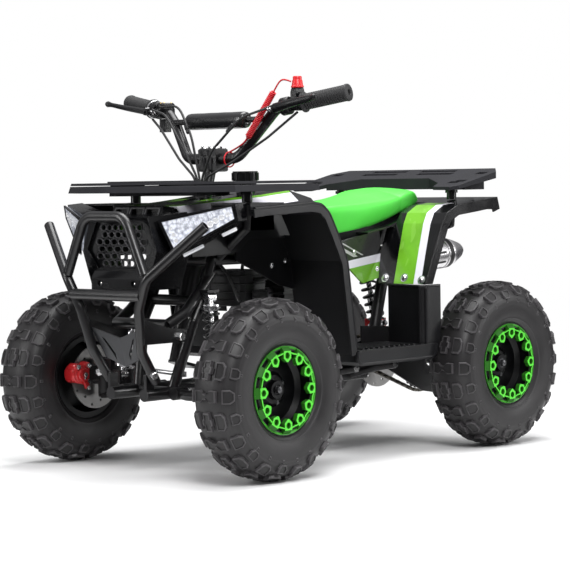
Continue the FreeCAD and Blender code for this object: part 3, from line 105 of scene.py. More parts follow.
def twoTone(tree, fac, dark, light, low=0.35, high=0.65):
    ramp = tree.nodes.new("ShaderNodeValToRGB")
    ramp.color_ramp.elements[0].position = low
    ramp.color_ramp.elements[0].color = (*dark, 1)
    ramp.color_ramp.elements[1].position = high
    ramp.color_ramp.elements[1].color = (*light, 1)
    tree.links.new(fac, ramp.inputs["Fac"])
    return ramp.outputs["Color"]


def ranged(tree, fac, low, high):
    node = tree.nodes.new("ShaderNodeMapRange")
    node.inputs["From Min"].default_value = 0.3
    node.inputs["From Max"].default_value = 0.7
    node.inputs["To Min"].default_value = low
    node.inputs["To Max"].default_value = high
    tree.links.new(fac, node.inputs["Value"])
    return node.outputs["Result"]


def bumped(tree, shader, height, strength, distance, edge=0.0):
    bump = tree.nodes.new("ShaderNodeBump")
    bump.inputs["Strength"].default_value = strength
    bump.inputs["Distance"].default_value = distance
    tree.links.new(height, bump.inputs["Height"])
    if edge:
        bevel = tree.nodes.new("ShaderNodeBevel")
        bevel.samples = 4
        bevel.inputs["Radius"].default_value = edge
        tree.links.new(bevel.outputs["Normal"], bump.inputs["Normal"])
    tree.links.new(bump.outputs["Normal"], shader.inputs["Normal"])


def shaded(colour, share):
    return tuple(min(1.0, channel * share) for channel in colour)


def finish(name, colour, roughness, metallic=0.0, grain=900.0, depth=0.15, edge=0.0012, coat=0.0, spread=0.12,
           patch=14.0, stretch=None, shine=0.5):
    material, tree, shader, coords = newFinish(name)
    broad = noiseOf(tree, coords, patch, 4.0)
    colourOut = twoTone(tree, broad, shaded(colour, 1 - spread), shaded(colour, 1 + spread))
    tree.links.new(colourOut, shader.inputs["Base Color"])
    fine = noiseOf(tree, coords, grain, 2.0, stretch)
    mixed = maths(tree, "ADD", maths(tree, "MULTIPLY", broad, 0.6), maths(tree, "MULTIPLY", fine, 0.4))
    tree.links.new(ranged(tree, mixed, max(0.02, roughness - 0.07), min(1.0, roughness + 0.09)),
                   shader.inputs["Roughness"])
    shader.inputs["Metallic"].default_value = metallic
    shader.inputs["Coat Weight"].default_value = coat
    shader.inputs["Coat Roughness"].default_value = 0.08
    shader.inputs["Specular IOR Level"].default_value = shine
    bumped(tree, shader, fine, depth, 0.0006, edge)
    return material


def mixColour(tree, mask, under, over):
    mix = tree.nodes.new("ShaderNodeMix")
    mix.data_type = "RGBA"
    tree.links.new(mask, mix.inputs["Factor"])
    for name, value in (("A", under), ("B", over)):
        socket = [s for s in mix.inputs if s.name == name and s.type == "RGBA"][0]
        if hasattr(value, "is_output"):
            tree.links.new(value, socket)
        else:
            socket.default_value = (*value, 1)
    return [s for s in mix.outputs if s.type == "RGBA"][0]


def axisValues(tree, coords):
    split = tree.nodes.new("ShaderNodeSeparateXYZ")
    tree.links.new(coords, split.inputs["Vector"])
    across = maths(tree, "ABSOLUTE", split.outputs["Y"])
    return split.outputs["X"], across, split.outputs["Z"]


def between(tree, value, low, high):
    return maths(tree, "MULTIPLY", maths(tree, "GREATER_THAN", value, low), maths(tree, "LESS_THAN", value, high))


def slanted(tree, base, along, slope):
    return maths(tree, "ADD", base, maths(tree, "MULTIPLY", along, slope))


def glossMoulding(name, paint, roughness, edge):
    # gloss black moulding; its paint returns the colour with the stripes laid over the black
    material, tree, shader, coords = newFinish(name)
    broad = noiseOf(tree, coords, 20.0)
    black = twoTone(tree, broad, shaded(colours["plasticBlack"], 0.8), shaded(colours["plasticBlack"], 1.2))
    tree.links.new(paint(tree, coords, broad, black), shader.inputs["Base Color"])
    tree.links.new(ranged(tree, broad, *roughness), shader.inputs["Roughness"])
    shader.inputs["Coat Weight"].default_value = 0.25
    shader.inputs["Specular IOR Level"].default_value = 0.35
    shader.inputs["Coat Roughness"].default_value = 0.06
    bumped(tree, shader, noiseOf(tree, coords, 500.0), 0.06, 0.0005, edge)
    return material


def rearBodyPaint(tree, coords, broad, black):
    # a green band with a few scratches and a pale line down the front face
    x, across, z = axisValues(tree, coords)
    shifted = slanted(tree, across, z, 0.15)
    onFront = maths(tree, "GREATER_THAN", x, -0.300)
    green = maths(tree, "MULTIPLY", between(tree, shifted, 0.212, 0.266), onFront)
    white = maths(tree, "MULTIPLY", between(tree, shifted, 0.266, 0.286), onFront)
    ticks = maths(tree, "GREATER_THAN", noiseOf(tree, coords, 60.0, 1.0, (1.0, 1.0, 0.25)), 0.62)
    bandTone = twoTone(tree, broad, shaded(colours["bandGreen"], 0.85), shaded(colours["bandGreen"], 1.1))
    band = mixColour(tree, maths(tree, "MULTIPLY", ticks, 0.25), bandTone, (0.30, 0.62, 0.10))
    return mixColour(tree, white, mixColour(tree, green, black, band), colours["bandWhite"])


def sidePanelPaint(tree, coords, broad, black):
    # two pale slanted bars on the black, a white band, and green below
    x, across, z = axisValues(tree, coords)
    level = slanted(tree, z, x, 0.12)
    lean = slanted(tree, z, x, -0.42)
    bars = maths(tree, "MULTIPLY", maths(tree, "ADD", between(tree, lean, 0.452, 0.459), between(tree, lean, 0.466, 0.469)),
                 maths(tree, "GREATER_THAN", level, 0.397))
    lines = maths(tree, "GREATER_THAN", maths(tree, "SINE", maths(tree, "MULTIPLY", level, 1800.0)), 0.8)
    greenTone = mixColour(tree, maths(tree, "MULTIPLY", lines, 0.3), colours["bandGreen"], (0.06, 0.22, 0.01))
    colour = mixColour(tree, maths(tree, "LESS_THAN", level, 0.375), black, greenTone)
    colour = mixColour(tree, between(tree, level, 0.375, 0.392), colour, colours["bandWhite"])
    return mixColour(tree, bars, colour, colours["slashGrey"])


def hoodPaint(tree, coords, broad, black):
    # green flank patch near the nose, white band with a green line rising to the crown
    x, across, z = axisValues(tree, coords)
    level = slanted(tree, z, x, 0.06)
    side = maths(tree, "MULTIPLY", maths(tree, "GREATER_THAN", across, 0.030), maths(tree, "GREATER_THAN", x, 0.034))
    white = maths(tree, "MULTIPLY", between(tree, level, 0.533, 0.551), side)
    line = maths(tree, "MULTIPLY", between(tree, level, 0.551, 0.555), side)
    patch = maths(tree, "MULTIPLY", maths(tree, "GREATER_THAN", x, 0.250), maths(tree, "LESS_THAN", level, 0.533))
    patchTone = twoTone(tree, slanted(tree, z, x, 0.9), (0.01, 0.06, 0.005), colours["bandGreen"], 0.78, 0.90)
    colour = mixColour(tree, patch, black, patchTone)
    colour = mixColour(tree, white, colour, colours["bandWhite"])
    return mixColour(tree, line, colour, colours["bandGreen"])


def brushedFinish(name, colour, roughness, centre):
    # rings turned about an axle along Y
    material, tree, shader, coords = newFinish(name)
    mapping = tree.nodes.new("ShaderNodeMapping")
    mapping.inputs["Location"].default_value = tuple(-c for c in centre)
    tree.links.new(coords, mapping.inputs["Vector"])
    split = tree.nodes.new("ShaderNodeSeparateXYZ")
    tree.links.new(mapping.outputs["Vector"], split.inputs["Vector"])
    first, second = split.outputs["X"], split.outputs["Z"]
    squares = [maths(tree, "MULTIPLY", value, value) for value in (first, second)]
    reach = maths(tree, "SQRT", maths(tree, "ADD", *squares))
    rings = tree.nodes.new("ShaderNodeTexNoise")
    rings.noise_dimensions = "1D"
    rings.inputs["Scale"].default_value = 2200.0
    tree.links.new(reach, rings.inputs["W"])
    broad = noiseOf(tree, coords, 18.0)
    halves = [maths(tree, "MULTIPLY", value, 0.5) for value in (rings.outputs["Fac"], broad)]
    tone = twoTone(tree, maths(tree, "ADD", *halves), shaded(colour, 0.8), shaded(colour, 1.1))
    tree.links.new(tone, shader.inputs["Base Color"])
    shader.inputs["Metallic"].default_value = 1.0
    tree.links.new(ranged(tree, rings.outputs["Fac"], roughness - 0.06, roughness + 0.08), shader.inputs["Roughness"])
    bumped(tree, shader, rings.outputs["Fac"], 0.12, 0.0003)
    return material


def ringFinish():
    # bright faces and side walls darkened with painted shade, told apart by the way each facet points
    material, tree, shader, coords = newFinish("anodisedGreen")
    shape = tree.nodes.new("ShaderNodeNewGeometry")
    turn = tree.nodes.new("ShaderNodeVectorTransform")
    turn.vector_type = "NORMAL"
    turn.convert_from, turn.convert_to = "WORLD", "OBJECT"
    tree.links.new(shape.outputs["True Normal"], turn.inputs[0])
    split = tree.nodes.new("ShaderNodeSeparateXYZ")
    tree.links.new(turn.outputs[0], split.inputs[0])
    paintedShadeFacing = maths(tree, "ABSOLUTE", split.outputs["Y"])
    # facets that turn away from the wheel's face get a fifth of the green as painted shade
    tone = twoTone(tree, paintedShadeFacing, shaded(colours["ringGreen"], 0.20), colours["ringGreen"], 0.86, 0.99)
    tree.links.new(tone, shader.inputs["Base Color"])
    broad = noiseOf(tree, coords, 20.0)
    tree.links.new(ranged(tree, broad, 0.34, 0.46), shader.inputs["Roughness"])
    shader.inputs["Specular IOR Level"].default_value = 0.22
    bumped(tree, shader, noiseOf(tree, coords, 900.0), 0.05, 0.0004)
    return material


def scuffAndHighlightFinish(name, dark, light, roughness, shine):
    # rubber whose convex edges are painted paler, part scuff and part painted highlight
    material, tree, shader, coords = newFinish(name)
    shape = tree.nodes.new("ShaderNodeNewGeometry")
    broad = noiseOf(tree, coords, 22.0, 4.0)
    fine = noiseOf(tree, coords, 1100.0, 2.0)
    base = twoTone(tree, broad, shaded(dark, 0.8), shaded(dark, 1.25))
    edges = tree.nodes.new("ShaderNodeMapRange")
    edges.inputs["From Min"].default_value = 0.505
    edges.inputs["From Max"].default_value = 0.56
    tree.links.new(shape.outputs["Pointiness"], edges.inputs["Value"])
    # the paler convex edges are part scuff and part painted highlight
    tree.links.new(mixColour(tree, edges.outputs["Result"], base, light), shader.inputs["Base Color"])
    mixed = maths(tree, "ADD", maths(tree, "MULTIPLY", broad, 0.6), maths(tree, "MULTIPLY", fine, 0.4))
    tree.links.new(ranged(tree, mixed, roughness - 0.07, roughness + 0.09), shader.inputs["Roughness"])
    shader.inputs["Specular IOR Level"].default_value = shine
    bumped(tree, shader, fine, 0.25, 0.0006, 0.0008)
    return material


def lensFinish():
    # pale moulded lens with faceted reflector cells under a clear skin
    material, tree, shader, coords = newFinish("headlightLens")
    cells = tree.nodes.new("ShaderNodeTexVoronoi")
    cells.inputs["Scale"].default_value = 140.0
    tree.links.new(coords, cells.inputs["Vector"])
    tone = twoTone(tree, cells.outputs["Distance"], (0.90, 0.92, 0.98), (0.26, 0.27, 0.33), 0.35, 0.80)
    tree.links.new(tone, shader.inputs["Base Color"])
    tree.links.new(ranged(tree, noiseOf(tree, coords, 30.0), 0.06, 0.14), shader.inputs["Roughness"])
    shader.inputs["Coat Weight"].default_value = 1.0
    shader.inputs["Coat Roughness"].default_value = 0.03
    # a faint painted glow that brightens the lens
    shader.inputs["Emission Color"].default_value = (0.8, 0.86, 1.0, 1)
    shader.inputs["Emission Strength"].default_value = 0.20
    bumped(tree, shader, cells.outputs["Distance"], 0.5, 0.002, 0.001)
    return material


gloss = finish("glossBlackPlastic", colours["plasticBlack"], 0.22, coat=0.2, shine=0.3, grain=420, depth=0.05, edge=0.0018)
satin = finish("satinBlackPlastic", colours["grainBlack"], 0.34, shine=0.28, grain=1500, depth=0.22, edge=0.0016)
rackBlack = finish("rackPlastic", shaded(colours["grainBlack"], 3.6), 0.56, shine=0.14, grain=1300, depth=0.35, edge=0.0016)
rimBlack = finish("rimBlack", colours["plasticBlack"], 0.34, shine=0.25, grain=700, depth=0.08, edge=0.001)
powder = finish("powderCoat", colours["powderBlack"], 0.30, shine=0.45, grain=1800, depth=0.2, edge=0.0008, coat=0.15)
rubber = scuffAndHighlightFinish("tyreRubber", colours["rubber"], colours["scuffAndHighlight"], 0.44, 0.42)
softRubber = finish("softRubber", (0.020, 0.020, 0.021), 0.6, grain=1400, depth=0.25, edge=0.0)
ringGreen = ringFinish()
redPaint = finish("redPaint", colours["red"], 0.32, metallic=0.1, grain=900, depth=0.1, edge=0.001, coat=0.4)
redPlastic = finish("redPlastic", (0.70, 0.016, 0.020), 0.36, grain=700, depth=0.08, edge=0.001)
redCord = finish("redCord", (0.62, 0.012, 0.022), 0.42, grain=900, depth=0.1, edge=0.0)
zinc = finish("zincBolt", colours["zinc"], 0.24, metallic=1.0, grain=1200, depth=0.08, edge=0.0, spread=0.15)
darkSteel = finish("darkSteel", (0.10, 0.10, 0.105), 0.36, metallic=0.9, grain=1200, depth=0.1, edge=0.0)
alloy = finish("castAlloy", colours["alloy"], 0.38, metallic=0.9, grain=700, depth=0.3, edge=0.001)
castBlack = finish("castBlack", (0.018, 0.018, 0.019), 0.48, metallic=0.2, grain=800, depth=0.5, edge=0.001)
plateGrey = finish("plateGrey", (0.040, 0.041, 0.044), 0.38, metallic=0.5, grain=900, depth=0.2, edge=0.001)
silencerSteel = finish("silencerSteel", (0.66, 0.65, 0.66), 0.26, metallic=1.0, grain=260, depth=0.08, edge=0.0006,
                       stretch=(1, 14, 14), spread=0.18)
axleSteel = finish("axleSteel", (0.45, 0.45, 0.46), 0.3, metallic=1.0, grain=600, depth=0.06, edge=0.0)
chainSteel = finish("chainSteel", (0.24, 0.22, 0.19), 0.38, metallic=1.0, grain=900, depth=0.1, edge=0.0, spread=0.25)
brass = finish("brassPins", (0.60, 0.42, 0.16), 0.28, metallic=1.0, grain=900, depth=0.05, edge=0.0)
lampChrome = finish("lampChrome", (0.90, 0.92, 0.98), 0.20, metallic=0.25, grain=700, depth=0.05, edge=0.0)
print("finishes made")

frontAxle = (layout["axleX"], 0, layout["axleZ"])
rearAxle = (-layout["axleX"], 0, layout["axleZ"])
frontDisc = brushedFinish("discSteelFront", shaded(colours["steel"], 0.40), 0.36, frontAxle)
rearDisc = brushedFinish("discSteelRear", shaded(colours["steel"], 0.45), 0.36, rearAxle)

nodeFinishes = [
    (powder, ["frame", "front_bumper", "front_arms", "swing_arm", "handlebar", "steering_column", "rack_posts",
              "chain_guard"]),
    (castBlack, ["knuckle_left", "knuckle_right", "engine"]), (axleSteel, ["tie_rod_left", "tie_rod_right", "rear_axle"]),
    (plateGrey, ["skid_plate"]), (gloss, ["front_cowl"]), (lensFinish(), ["headlights"]), (softRubber, ["control_cables"]),
    (satin, ["grille", "fuel_cap", "front_fender_left", "front_fender_right", "footboard_left", "footboard_right"]),
    (glossMoulding("hoodGloss", hoodPaint, (0.16, 0.26), 0.003), ["hood"]),
    (glossMoulding("sidePanelGloss", sidePanelPaint, (0.18, 0.28), 0.0015), ["side_panels"]),
    (glossMoulding("rearBodyGloss", rearBodyPaint, (0.16, 0.26), 0.002), ["rear_body"]),
    (rackBlack, ["front_rack", "rear_rack"]), (rearDisc, ["rear_brake_disc"]), (redPaint, ["rear_caliper"]),
    (frontDisc, ["front_brake_disc_left", "front_brake_disc_right"]), (darkSteel, ["sprocket"]),
    (rimBlack, ["front_rim_left", "front_rim_right", "rear_rims"]),
]
for material, names in nodeFinishes:
    for nodeName in names:
        for slot in nodes[nodeName].material_slots:
            slot.material = material
print("CAD nodes finished")


def addMesh(name, mesh, body, material, hides=(), sharp=None):
    # a smooth shaded piece on a body; edges over so many degrees stay sharp
    if sharp:
        mesh = sharpened(mesh, sharp)
    piece = bpy.data.objects.new(name, mesh)
    show(piece)
    mesh.materials.clear()
    mesh.materials.append(material)
    mesh.polygons.foreach_set("use_smooth", [True] * len(mesh.polygons))
    mesh.update()
    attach(piece, body)
    if hides:
        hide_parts(*hides)
    return piece


def quadRows(rows, count):
    # faces between loops of corners that follow one another
    return [(row * count + k, row * count + (k + 1) % count, (row + 1) * count + (k + 1) % count, (row + 1) * count + k)
            for row in range(rows - 1) for k in range(count)]


def meshOf(name, points, faces, weld=1e-7):
    mesh = bpy.data.meshes.new(name)
    mesh.from_pydata([tuple(p) for p in points], [], faces)
    shape = bmesh.new()
    shape.from_mesh(mesh)
    if weld:
        bmesh.ops.remove_doubles(shape, verts=shape.verts, dist=weld)
    bmesh.ops.recalc_face_normals(shape, faces=shape.faces)
    shape.to_mesh(mesh)
    shape.free()
    return mesh


def joined(name, meshes):
    shape = bmesh.new()
    for mesh in meshes:
        shape.from_mesh(mesh)
    whole = bpy.data.meshes.new(name)
    shape.to_mesh(whole)
    shape.free()
    return whole


def sharpened(mesh, degrees):
    shape = bmesh.new()
    shape.from_mesh(mesh)
    for edge in shape.edges:
        if len(edge.link_faces) == 2:
            edge.smooth = edge.calc_face_angle(0) < math.radians(degrees)
    shape.to_mesh(mesh)
    shape.free()
    return mesh


def turned(name, profile, steps=48, axis="Z", closed=False):
    # profile is (radius, along) pairs in millimetres; points on the axis close it
    points, faces = [], []
    for step in range(steps):
        angle = 2 * math.pi * step / steps
        for radius, along in [(r / 1000, level / 1000) for r, level in profile]:
            a, b = radius * math.cos(angle), radius * math.sin(angle)
            points.append({"Z": (a, b, along), "Y": (a, along, b), "X": (along, a, b)}[axis])
    count = len(profile)
    spans = count if closed else count - 1
    for step in range(steps):
        here, after = step * count, ((step + 1) % steps) * count
        for k in range(spans):
            n = (k + 1) % count
            faces.append((here + k, after + k, after + n, here + n))
    return meshOf(name, points, faces)


def placed(mesh, matrix):
    mesh.transform(matrix)
    if matrix.determinant() < 0:
        mesh.flip_normals()
    return mesh


def bothSides(name, mesh):
    return joined(name, [mesh, placed(mesh.copy(), mirrored)])


def facing(direction, at):
    # turns +Z to a direction and moves to a point
    return Matrix.Translation(Vector(at)) @ Vector(direction).to_track_quat("Z", "Y").to_matrix().to_4x4()


def geometryTree(name, inputs):
    tree = bpy.data.node_groups.new(name, "GeometryNodeTree")
    tree.interface.new_socket("Geometry", in_out="INPUT", socket_type="NodeSocketGeometry")
    for label, kind, value in inputs:
        socket = tree.interface.new_socket(label, in_out="INPUT", socket_type=kind)
        if value is not None:
            socket.default_value = value
    tree.interface.new_socket("Geometry", in_out="OUTPUT", socket_type="NodeSocketGeometry")
    start = tree.nodes.new("NodeGroupInput")
    end = tree.nodes.new("NodeGroupOutput")
    return tree, start, end


def closeTree(tree, geometry, start, end):
    real = tree.nodes.new("GeometryNodeRealizeInstances")
    coat = tree.nodes.new("GeometryNodeSetMaterial")
    tree.links.new(geometry, real.inputs["Geometry"])
    tree.links.new(real.outputs["Geometry"], coat.inputs["Geometry"])
    tree.links.new(start.outputs["Finish"], coat.inputs["Material"])
    tree.links.new(coat.outputs["Geometry"], end.inputs["Geometry"])
    return tree


def wheelTree():
    # copies of the input, turned evenly about the Y axis
    tree, start, end = geometryTree("turnedCopies", [
        ("Count", "NodeSocketInt", 12), ("Phase", "NodeSocketFloat", 0.0), ("Finish", "NodeSocketMaterial", None)])
    spots = tree.nodes.new("GeometryNodePoints")
    index = tree.nodes.new("GeometryNodeInputIndex")
    step = tree.nodes.new("ShaderNodeMath")
    step.operation = "DIVIDE"
    step.inputs[0].default_value = 2 * math.pi
    turn = tree.nodes.new("ShaderNodeMath")
    turn.operation = "MULTIPLY_ADD"
    angles = tree.nodes.new("ShaderNodeCombineXYZ")
    copies = tree.nodes.new("GeometryNodeInstanceOnPoints")
    link = tree.links.new
    link(start.outputs["Count"], spots.inputs["Count"])
    link(start.outputs["Count"], step.inputs[1])
    link(index.outputs[0], turn.inputs[0])
    link(step.outputs[0], turn.inputs[1])
    link(start.outputs["Phase"], turn.inputs[2])
    link(turn.outputs[0], angles.inputs["Y"])
    link(spots.outputs[0], copies.inputs["Points"])
    link(start.outputs["Geometry"], copies.inputs["Instance"])
    link(angles.outputs[0], copies.inputs["Rotation"])
    return closeTree(tree, copies.outputs["Instances"], start, end)


def liveOutput(node):
    return [socket for socket in node.outputs if socket.enabled and socket.name == "Attribute"][0]


def spotTree():
    # copies of one unit piece on the input's points, along each point's own direction and size
    tree, start, end = geometryTree("spottedCopies", [
        ("Unit", "NodeSocketObject", None), ("Finish", "NodeSocketMaterial", None)])
    unit = tree.nodes.new("GeometryNodeObjectInfo")
    way = tree.nodes.new("GeometryNodeInputNamedAttribute")
    way.data_type = "FLOAT_VECTOR"
    way.inputs["Name"].default_value = "facing"
    size = tree.nodes.new("GeometryNodeInputNamedAttribute")
    size.data_type = "FLOAT"
    size.inputs["Name"].default_value = "size"
    turn = tree.nodes.new("FunctionNodeAlignRotationToVector")
    turn.axis = "Z"
    copies = tree.nodes.new("GeometryNodeInstanceOnPoints")
    link = tree.links.new
    link(start.outputs["Unit"], unit.inputs["Object"])
    link(liveOutput(way), turn.inputs["Vector"])
    link(start.outputs["Geometry"], copies.inputs["Points"])
    link(unit.outputs["Geometry"], copies.inputs["Instance"])
    link(turn.outputs[0], copies.inputs["Rotation"])
    link(liveOutput(size), copies.inputs["Scale"])
    return closeTree(tree, copies.outputs["Instances"], start, end)


trees = {"wheel": wheelTree(), "spots": spotTree()}


def grown(mesh, treeName, values, name):
    # runs one tree on a mesh and returns the plain mesh that it makes
    carrier = bpy.data.objects.new("carrier", mesh)
    show(carrier)
    modifier = carrier.modifiers.new("grow", "NODES")
    modifier.node_group = trees[treeName]
    for item in trees[treeName].interface.items_tree:
        if item.item_type == "SOCKET" and item.in_out == "INPUT" and item.name in values:
            modifier[item.identifier] = values[item.name]
    carrier.update_tag()
    graph = bpy.context.evaluated_depsgraph_get()
    result = bpy.data.meshes.new_from_object(carrier.evaluated_get(graph), depsgraph=graph)
    result.name = name
    bpy.data.objects.remove(carrier)
    return result


def around(name, unitMesh, count, material, phase=0.0):
    return grown(unitMesh, "wheel", {"Count": count, "Phase": phase, "Finish": material}, name)


def onSpots(name, unitMesh, spots, material):
    # spots are (point, direction, size)
    carrierMesh = bpy.data.meshes.new(name + "Spots")
    carrierMesh.from_pydata([tuple(s[0]) for s in spots], [], [])
    carrierMesh.attributes.new("facing", "FLOAT_VECTOR", "POINT")
    carrierMesh.attributes.new("size", "FLOAT", "POINT")
    for k, (point, direction, scale) in enumerate(spots):
        carrierMesh.attributes["facing"].data[k].vector = Vector(direction).normalized()
        carrierMesh.attributes["size"].data[k].value = scale
    unit = bpy.data.objects.new(name + "Unit", unitMesh)
    show(unit)
    made = grown(carrierMesh, "spots", {"Unit": unit, "Finish": material}, name)
    bpy.data.objects.remove(unit)
    return made


tyre = {
    "pitches": 11, "crownR": 176.0, "steps": 132,
    "half": [(0, 169), (14, 168.6), (26, 166.4), (36, 162.4), (43.5, 156.5), (48.8, 148.5), (51.8, 139), (53, 128),
             (52.6, 118), (51, 108), (48.4, 99), (45.4, 92.5), (42.6, 88.6), (40.4, 87.2), (40, 86)],
    "bead": 78.2,
}


def smoothCurve(points, perSpan):
    found = []
    for k in range(len(points) - 1):
        p0, p1 = points[max(k - 1, 0)], points[k]
        p2, p3 = points[k + 1], points[min(k + 2, len(points) - 1)]
        for s in range(perSpan):
            t = s / perSpan
            found.append(tuple(0.5 * (2 * b + (c - a) * t + (2 * a - 5 * b + 4 * c - d) * t * t
                                      + (3 * b - a - 3 * c + d) * t ** 3) for a, b, c, d in zip(p0, p1, p2, p3)))
    return found + [tuple(points[-1])]


halfWall = smoothCurve(tyre["half"], 3)
wallLengths = [0.0]
for before, after in zip(halfWall, halfWall[1:]):
    wallLengths.append(wallLengths[-1] + math.dist(before, after))


def onWall(across, height):
    # point (offset, radius) on the tyre's outer wall at an arc distance from the crown
    reach = min(abs(across), wallLengths[-1] - 0.01)
    k = max(i for i, length in enumerate(wallLengths) if length <= reach)
    share = (reach - wallLengths[k]) / (wallLengths[k + 1] - wallLengths[k])
    (y0, r0), (y1, r1) = halfWall[k], halfWall[k + 1]
    y, r = y0 + (y1 - y0) * share, r0 + (r1 - r0) * share
    length = math.hypot(y1 - y0, r1 - r0)
    y, r = y + height * -(r1 - r0) / length, r + height * (y1 - y0) / length
    return math.copysign(y, across) if across else 0.0, r


def lugMesh(outline, height, inset=1.6):
    # outline is (along, across) in millimetres on the tread; the lug stands on it with a chamfered top
    middle = [sum(p[k] for p in outline) / len(outline) for k in (0, 1)]
    rings = []
    for level, inward in ((-1.5, -0.5), (height - 1.2, 0.2), (height, inset), (height, inset + 2.0),
                          (height - 1.7, inset + 3.0)):
        ring = []
        for along, across in outline:
            reach = math.hypot(along - middle[0], across - middle[1])
            share = max(0.15, (reach - inward) / reach)
            u = middle[0] + (along - middle[0]) * share
            v = middle[1] + (across - middle[1]) * share
            ring.append((u, v, level))
        rings.append(ring)
    rings.append([(middle[0], middle[1], height - 1.7)])
    points, faces = [], []
    for ring in rings:
        for u, v, level in ring:
            y, r = onWall(v, level)
            angle = u / tyre["crownR"]
            points.append(mm(r * math.cos(angle), y, r * math.sin(angle)))
    count = len(outline)
    for k in range(count):
        n = (k + 1) % count
        for row in range(0, 4 * count, count):
            faces.append((row + k, row + n, row + count + n, row + count + k))
        faces.append((4 * count + k, 4 * count + n, 5 * count))
    faces.append(tuple(range(count - 1, -1, -1)))
    mesh = bpy.data.meshes.new("lug")
    mesh.from_pydata([tuple(p) for p in points], [], faces)
    return mesh


def treadPitch():
    pitch = 2 * math.pi * tyre["crownR"] / tyre["pitches"]
    halfPitch = pitch / 2
    bow = [(-11, -25), (-12, -12), (-6, -5), (-6, 5), (-12, 12), (-11, 25), (11, 25), (12, 12), (6, 5), (6, -5),
           (12, -12), (11, -25)]
    post = [(-19, -7), (-19, 7), (-7, 8), (-6, 12), (6, 12), (7, 8), (19, 7), (19, -7), (7, -8), (6, -12), (-6, -12),
            (-7, -8)]
    tall = [(-17, 20), (17, 20), (18, 33), (10, 39), (-10, 39), (-18, 33)]
    house = [(-14, 36), (14, 36), (15, 50), (9, 58), (-9, 58), (-15, 50)]
    knob = [(-11, 47), (11, 47), (13, 58), (8, 65), (-8, 65), (-13, 58)]
    nub = [(-4, 66), (4, 66), (4, 74), (-4, 74)]
    parts = [(bow, 0, 7.0), (post, halfPitch, 7.0)]
    for side in (1, -1):
        for shape, shift, height in ((tall, halfPitch, 6.6), (house, 0, 6.4), (knob, halfPitch, 5.6), (nub, 0, 1.6),
                                     (nub, halfPitch, 1.6)):
            parts.append(([(u, v * side) for u, v in shape], shift, height))
    meshes = []
    for outline, shift, height in parts:
        meshes.append(lugMesh([(u + shift, v) for u, v in outline], height))
    merged = joined("treadPitch", meshes)
    shape = bmesh.new()
    shape.from_mesh(merged)
    bmesh.ops.recalc_face_normals(shape, faces=shape.faces)
    shape.to_mesh(merged)
    shape.free()
    return merged


def tyreMesh(name):
    wall = list(halfWall)
    for k, (y, r) in enumerate(wall):
        for centre, lift in ((97.0, 0.9), (134.0, 0.7), (143.0, 0.7)):  # moulded ribs on the sidewall
            if 40 < y and abs(r - centre) < 1.6:
                wall[k] = (y + lift, r)
    outside = [(r, y) for y, r in wall]
    inside = [(tyre["bead"], 40.0), (tyre["bead"], -40.0)]
    carcass = turned(name + "Wall", [(r, -y) for r, y in outside[:0:-1]] + outside + inside, tyre["steps"], "Y", True)
    lugs = around(name + "Lugs", treadPitch(), tyre["pitches"], rubber)
    return joined(name, [carcass, lugs])


tyreBase = sharpened(tyreMesh("tyre"), 28)


def wheelCopies(name, mesh, body, spots, material, hides):
    # the same piece on each wheel of one body, mirrored on the right
    copies = []
    for x, y, mirrorIt in spots:
        copy = mesh.copy()
        turn = mirrored if mirrorIt else Matrix.Identity(4)
        placed(copy, Matrix.Translation((x, y, layout["axleZ"])) @ turn)
        copies.append(copy)
    whole = joined(name, copies) if len(copies) > 1 else copies[0]
    return addMesh(name, whole, body, material, hides)


wheelSets = {
    "Left": ("front_wheel_left", [(layout["axleX"], layout["frontY"], False)], "front", "_left"),
    "Right": ("front_wheel_right", [(layout["axleX"], -layout["frontY"], True)], "front", "_right"),
    "Rear": ("rear_wheels", [(-layout["axleX"], layout["rearY"], False), (-layout["axleX"], -layout["rearY"], True)],
             "rear", "s"),
}
for label, (body, spots, where, tail) in wheelSets.items():
    wheelCopies("tyre" + label, tyreBase, body, spots, rubber, [f"{where}_tyre{tail}"])
print("tyres made")


ring = {"bolt": 66.5, "holeR": 6.3, "face": 49.6, "back": 40.4, "bosses": 12}


def prism(outline, hole, low, high, chamfer):
    # a flat block in the X-Z plane with a round hole, its face towards +Y
    centre, holeR = hole
    steps = 16
    middle = [sum(p[k] for p in outline) / len(outline) for k in (0, 1)]
    shape = bmesh.new()

    def loop(shrink, level):
        made = []
        for r, t in outline:
            length = math.hypot(r - middle[0], t - middle[1])
            share = (length - shrink) / length
            made.append(shape.verts.new(mm(middle[0] + (r - middle[0]) * share, level, middle[1] + (t - middle[1]) * share)))
        return made

    def circle(radius, level):
        turns = [2 * math.pi * k / steps for k in range(steps)]
        return [shape.verts.new(mm(centre + radius * math.cos(a), level, radius * math.sin(a))) for a in turns]

    def band(first, second):
        for k in range(len(first)):
            n = (k + 1) % len(first)
            shape.faces.new((first[k], first[n], second[n], second[k]))

    foot, brow, face = loop(0, low), loop(0, high - chamfer), loop(chamfer, high)
    mouth, throat, well = circle(holeR, high), circle(holeR - chamfer, high - chamfer), circle(holeR - chamfer, low + 1.2)
    band(foot, brow)
    band(brow, face)
    band(mouth, throat)
    band(throat, well)
    shape.faces.new(well)
    shape.faces.new(foot)
    edges = []
    for ringVerts in (face, mouth):
        for k in range(len(ringVerts)):
            n = (k + 1) % len(ringVerts)
            found = shape.edges.get((ringVerts[k], ringVerts[n]))
            edges.append(found)
    bmesh.ops.triangle_fill(shape, use_beauty=True, use_dissolve=False, edges=edges)
    bmesh.ops.recalc_face_normals(shape, faces=shape.faces)
    mesh = bpy.data.meshes.new("prism")
    shape.to_mesh(mesh)
    shape.free()
    return mesh


def blockMesh(name, loops):
    # closed skin through several loops of corners in millimetres
    count = len(loops[0])
    faces = [tuple(range(count)), tuple(range((len(loops) - 1) * count, len(loops) * count))]
    return meshOf(name, [mm(*corner) for loop in loops for corner in loop], faces + quadRows(len(loops), count))


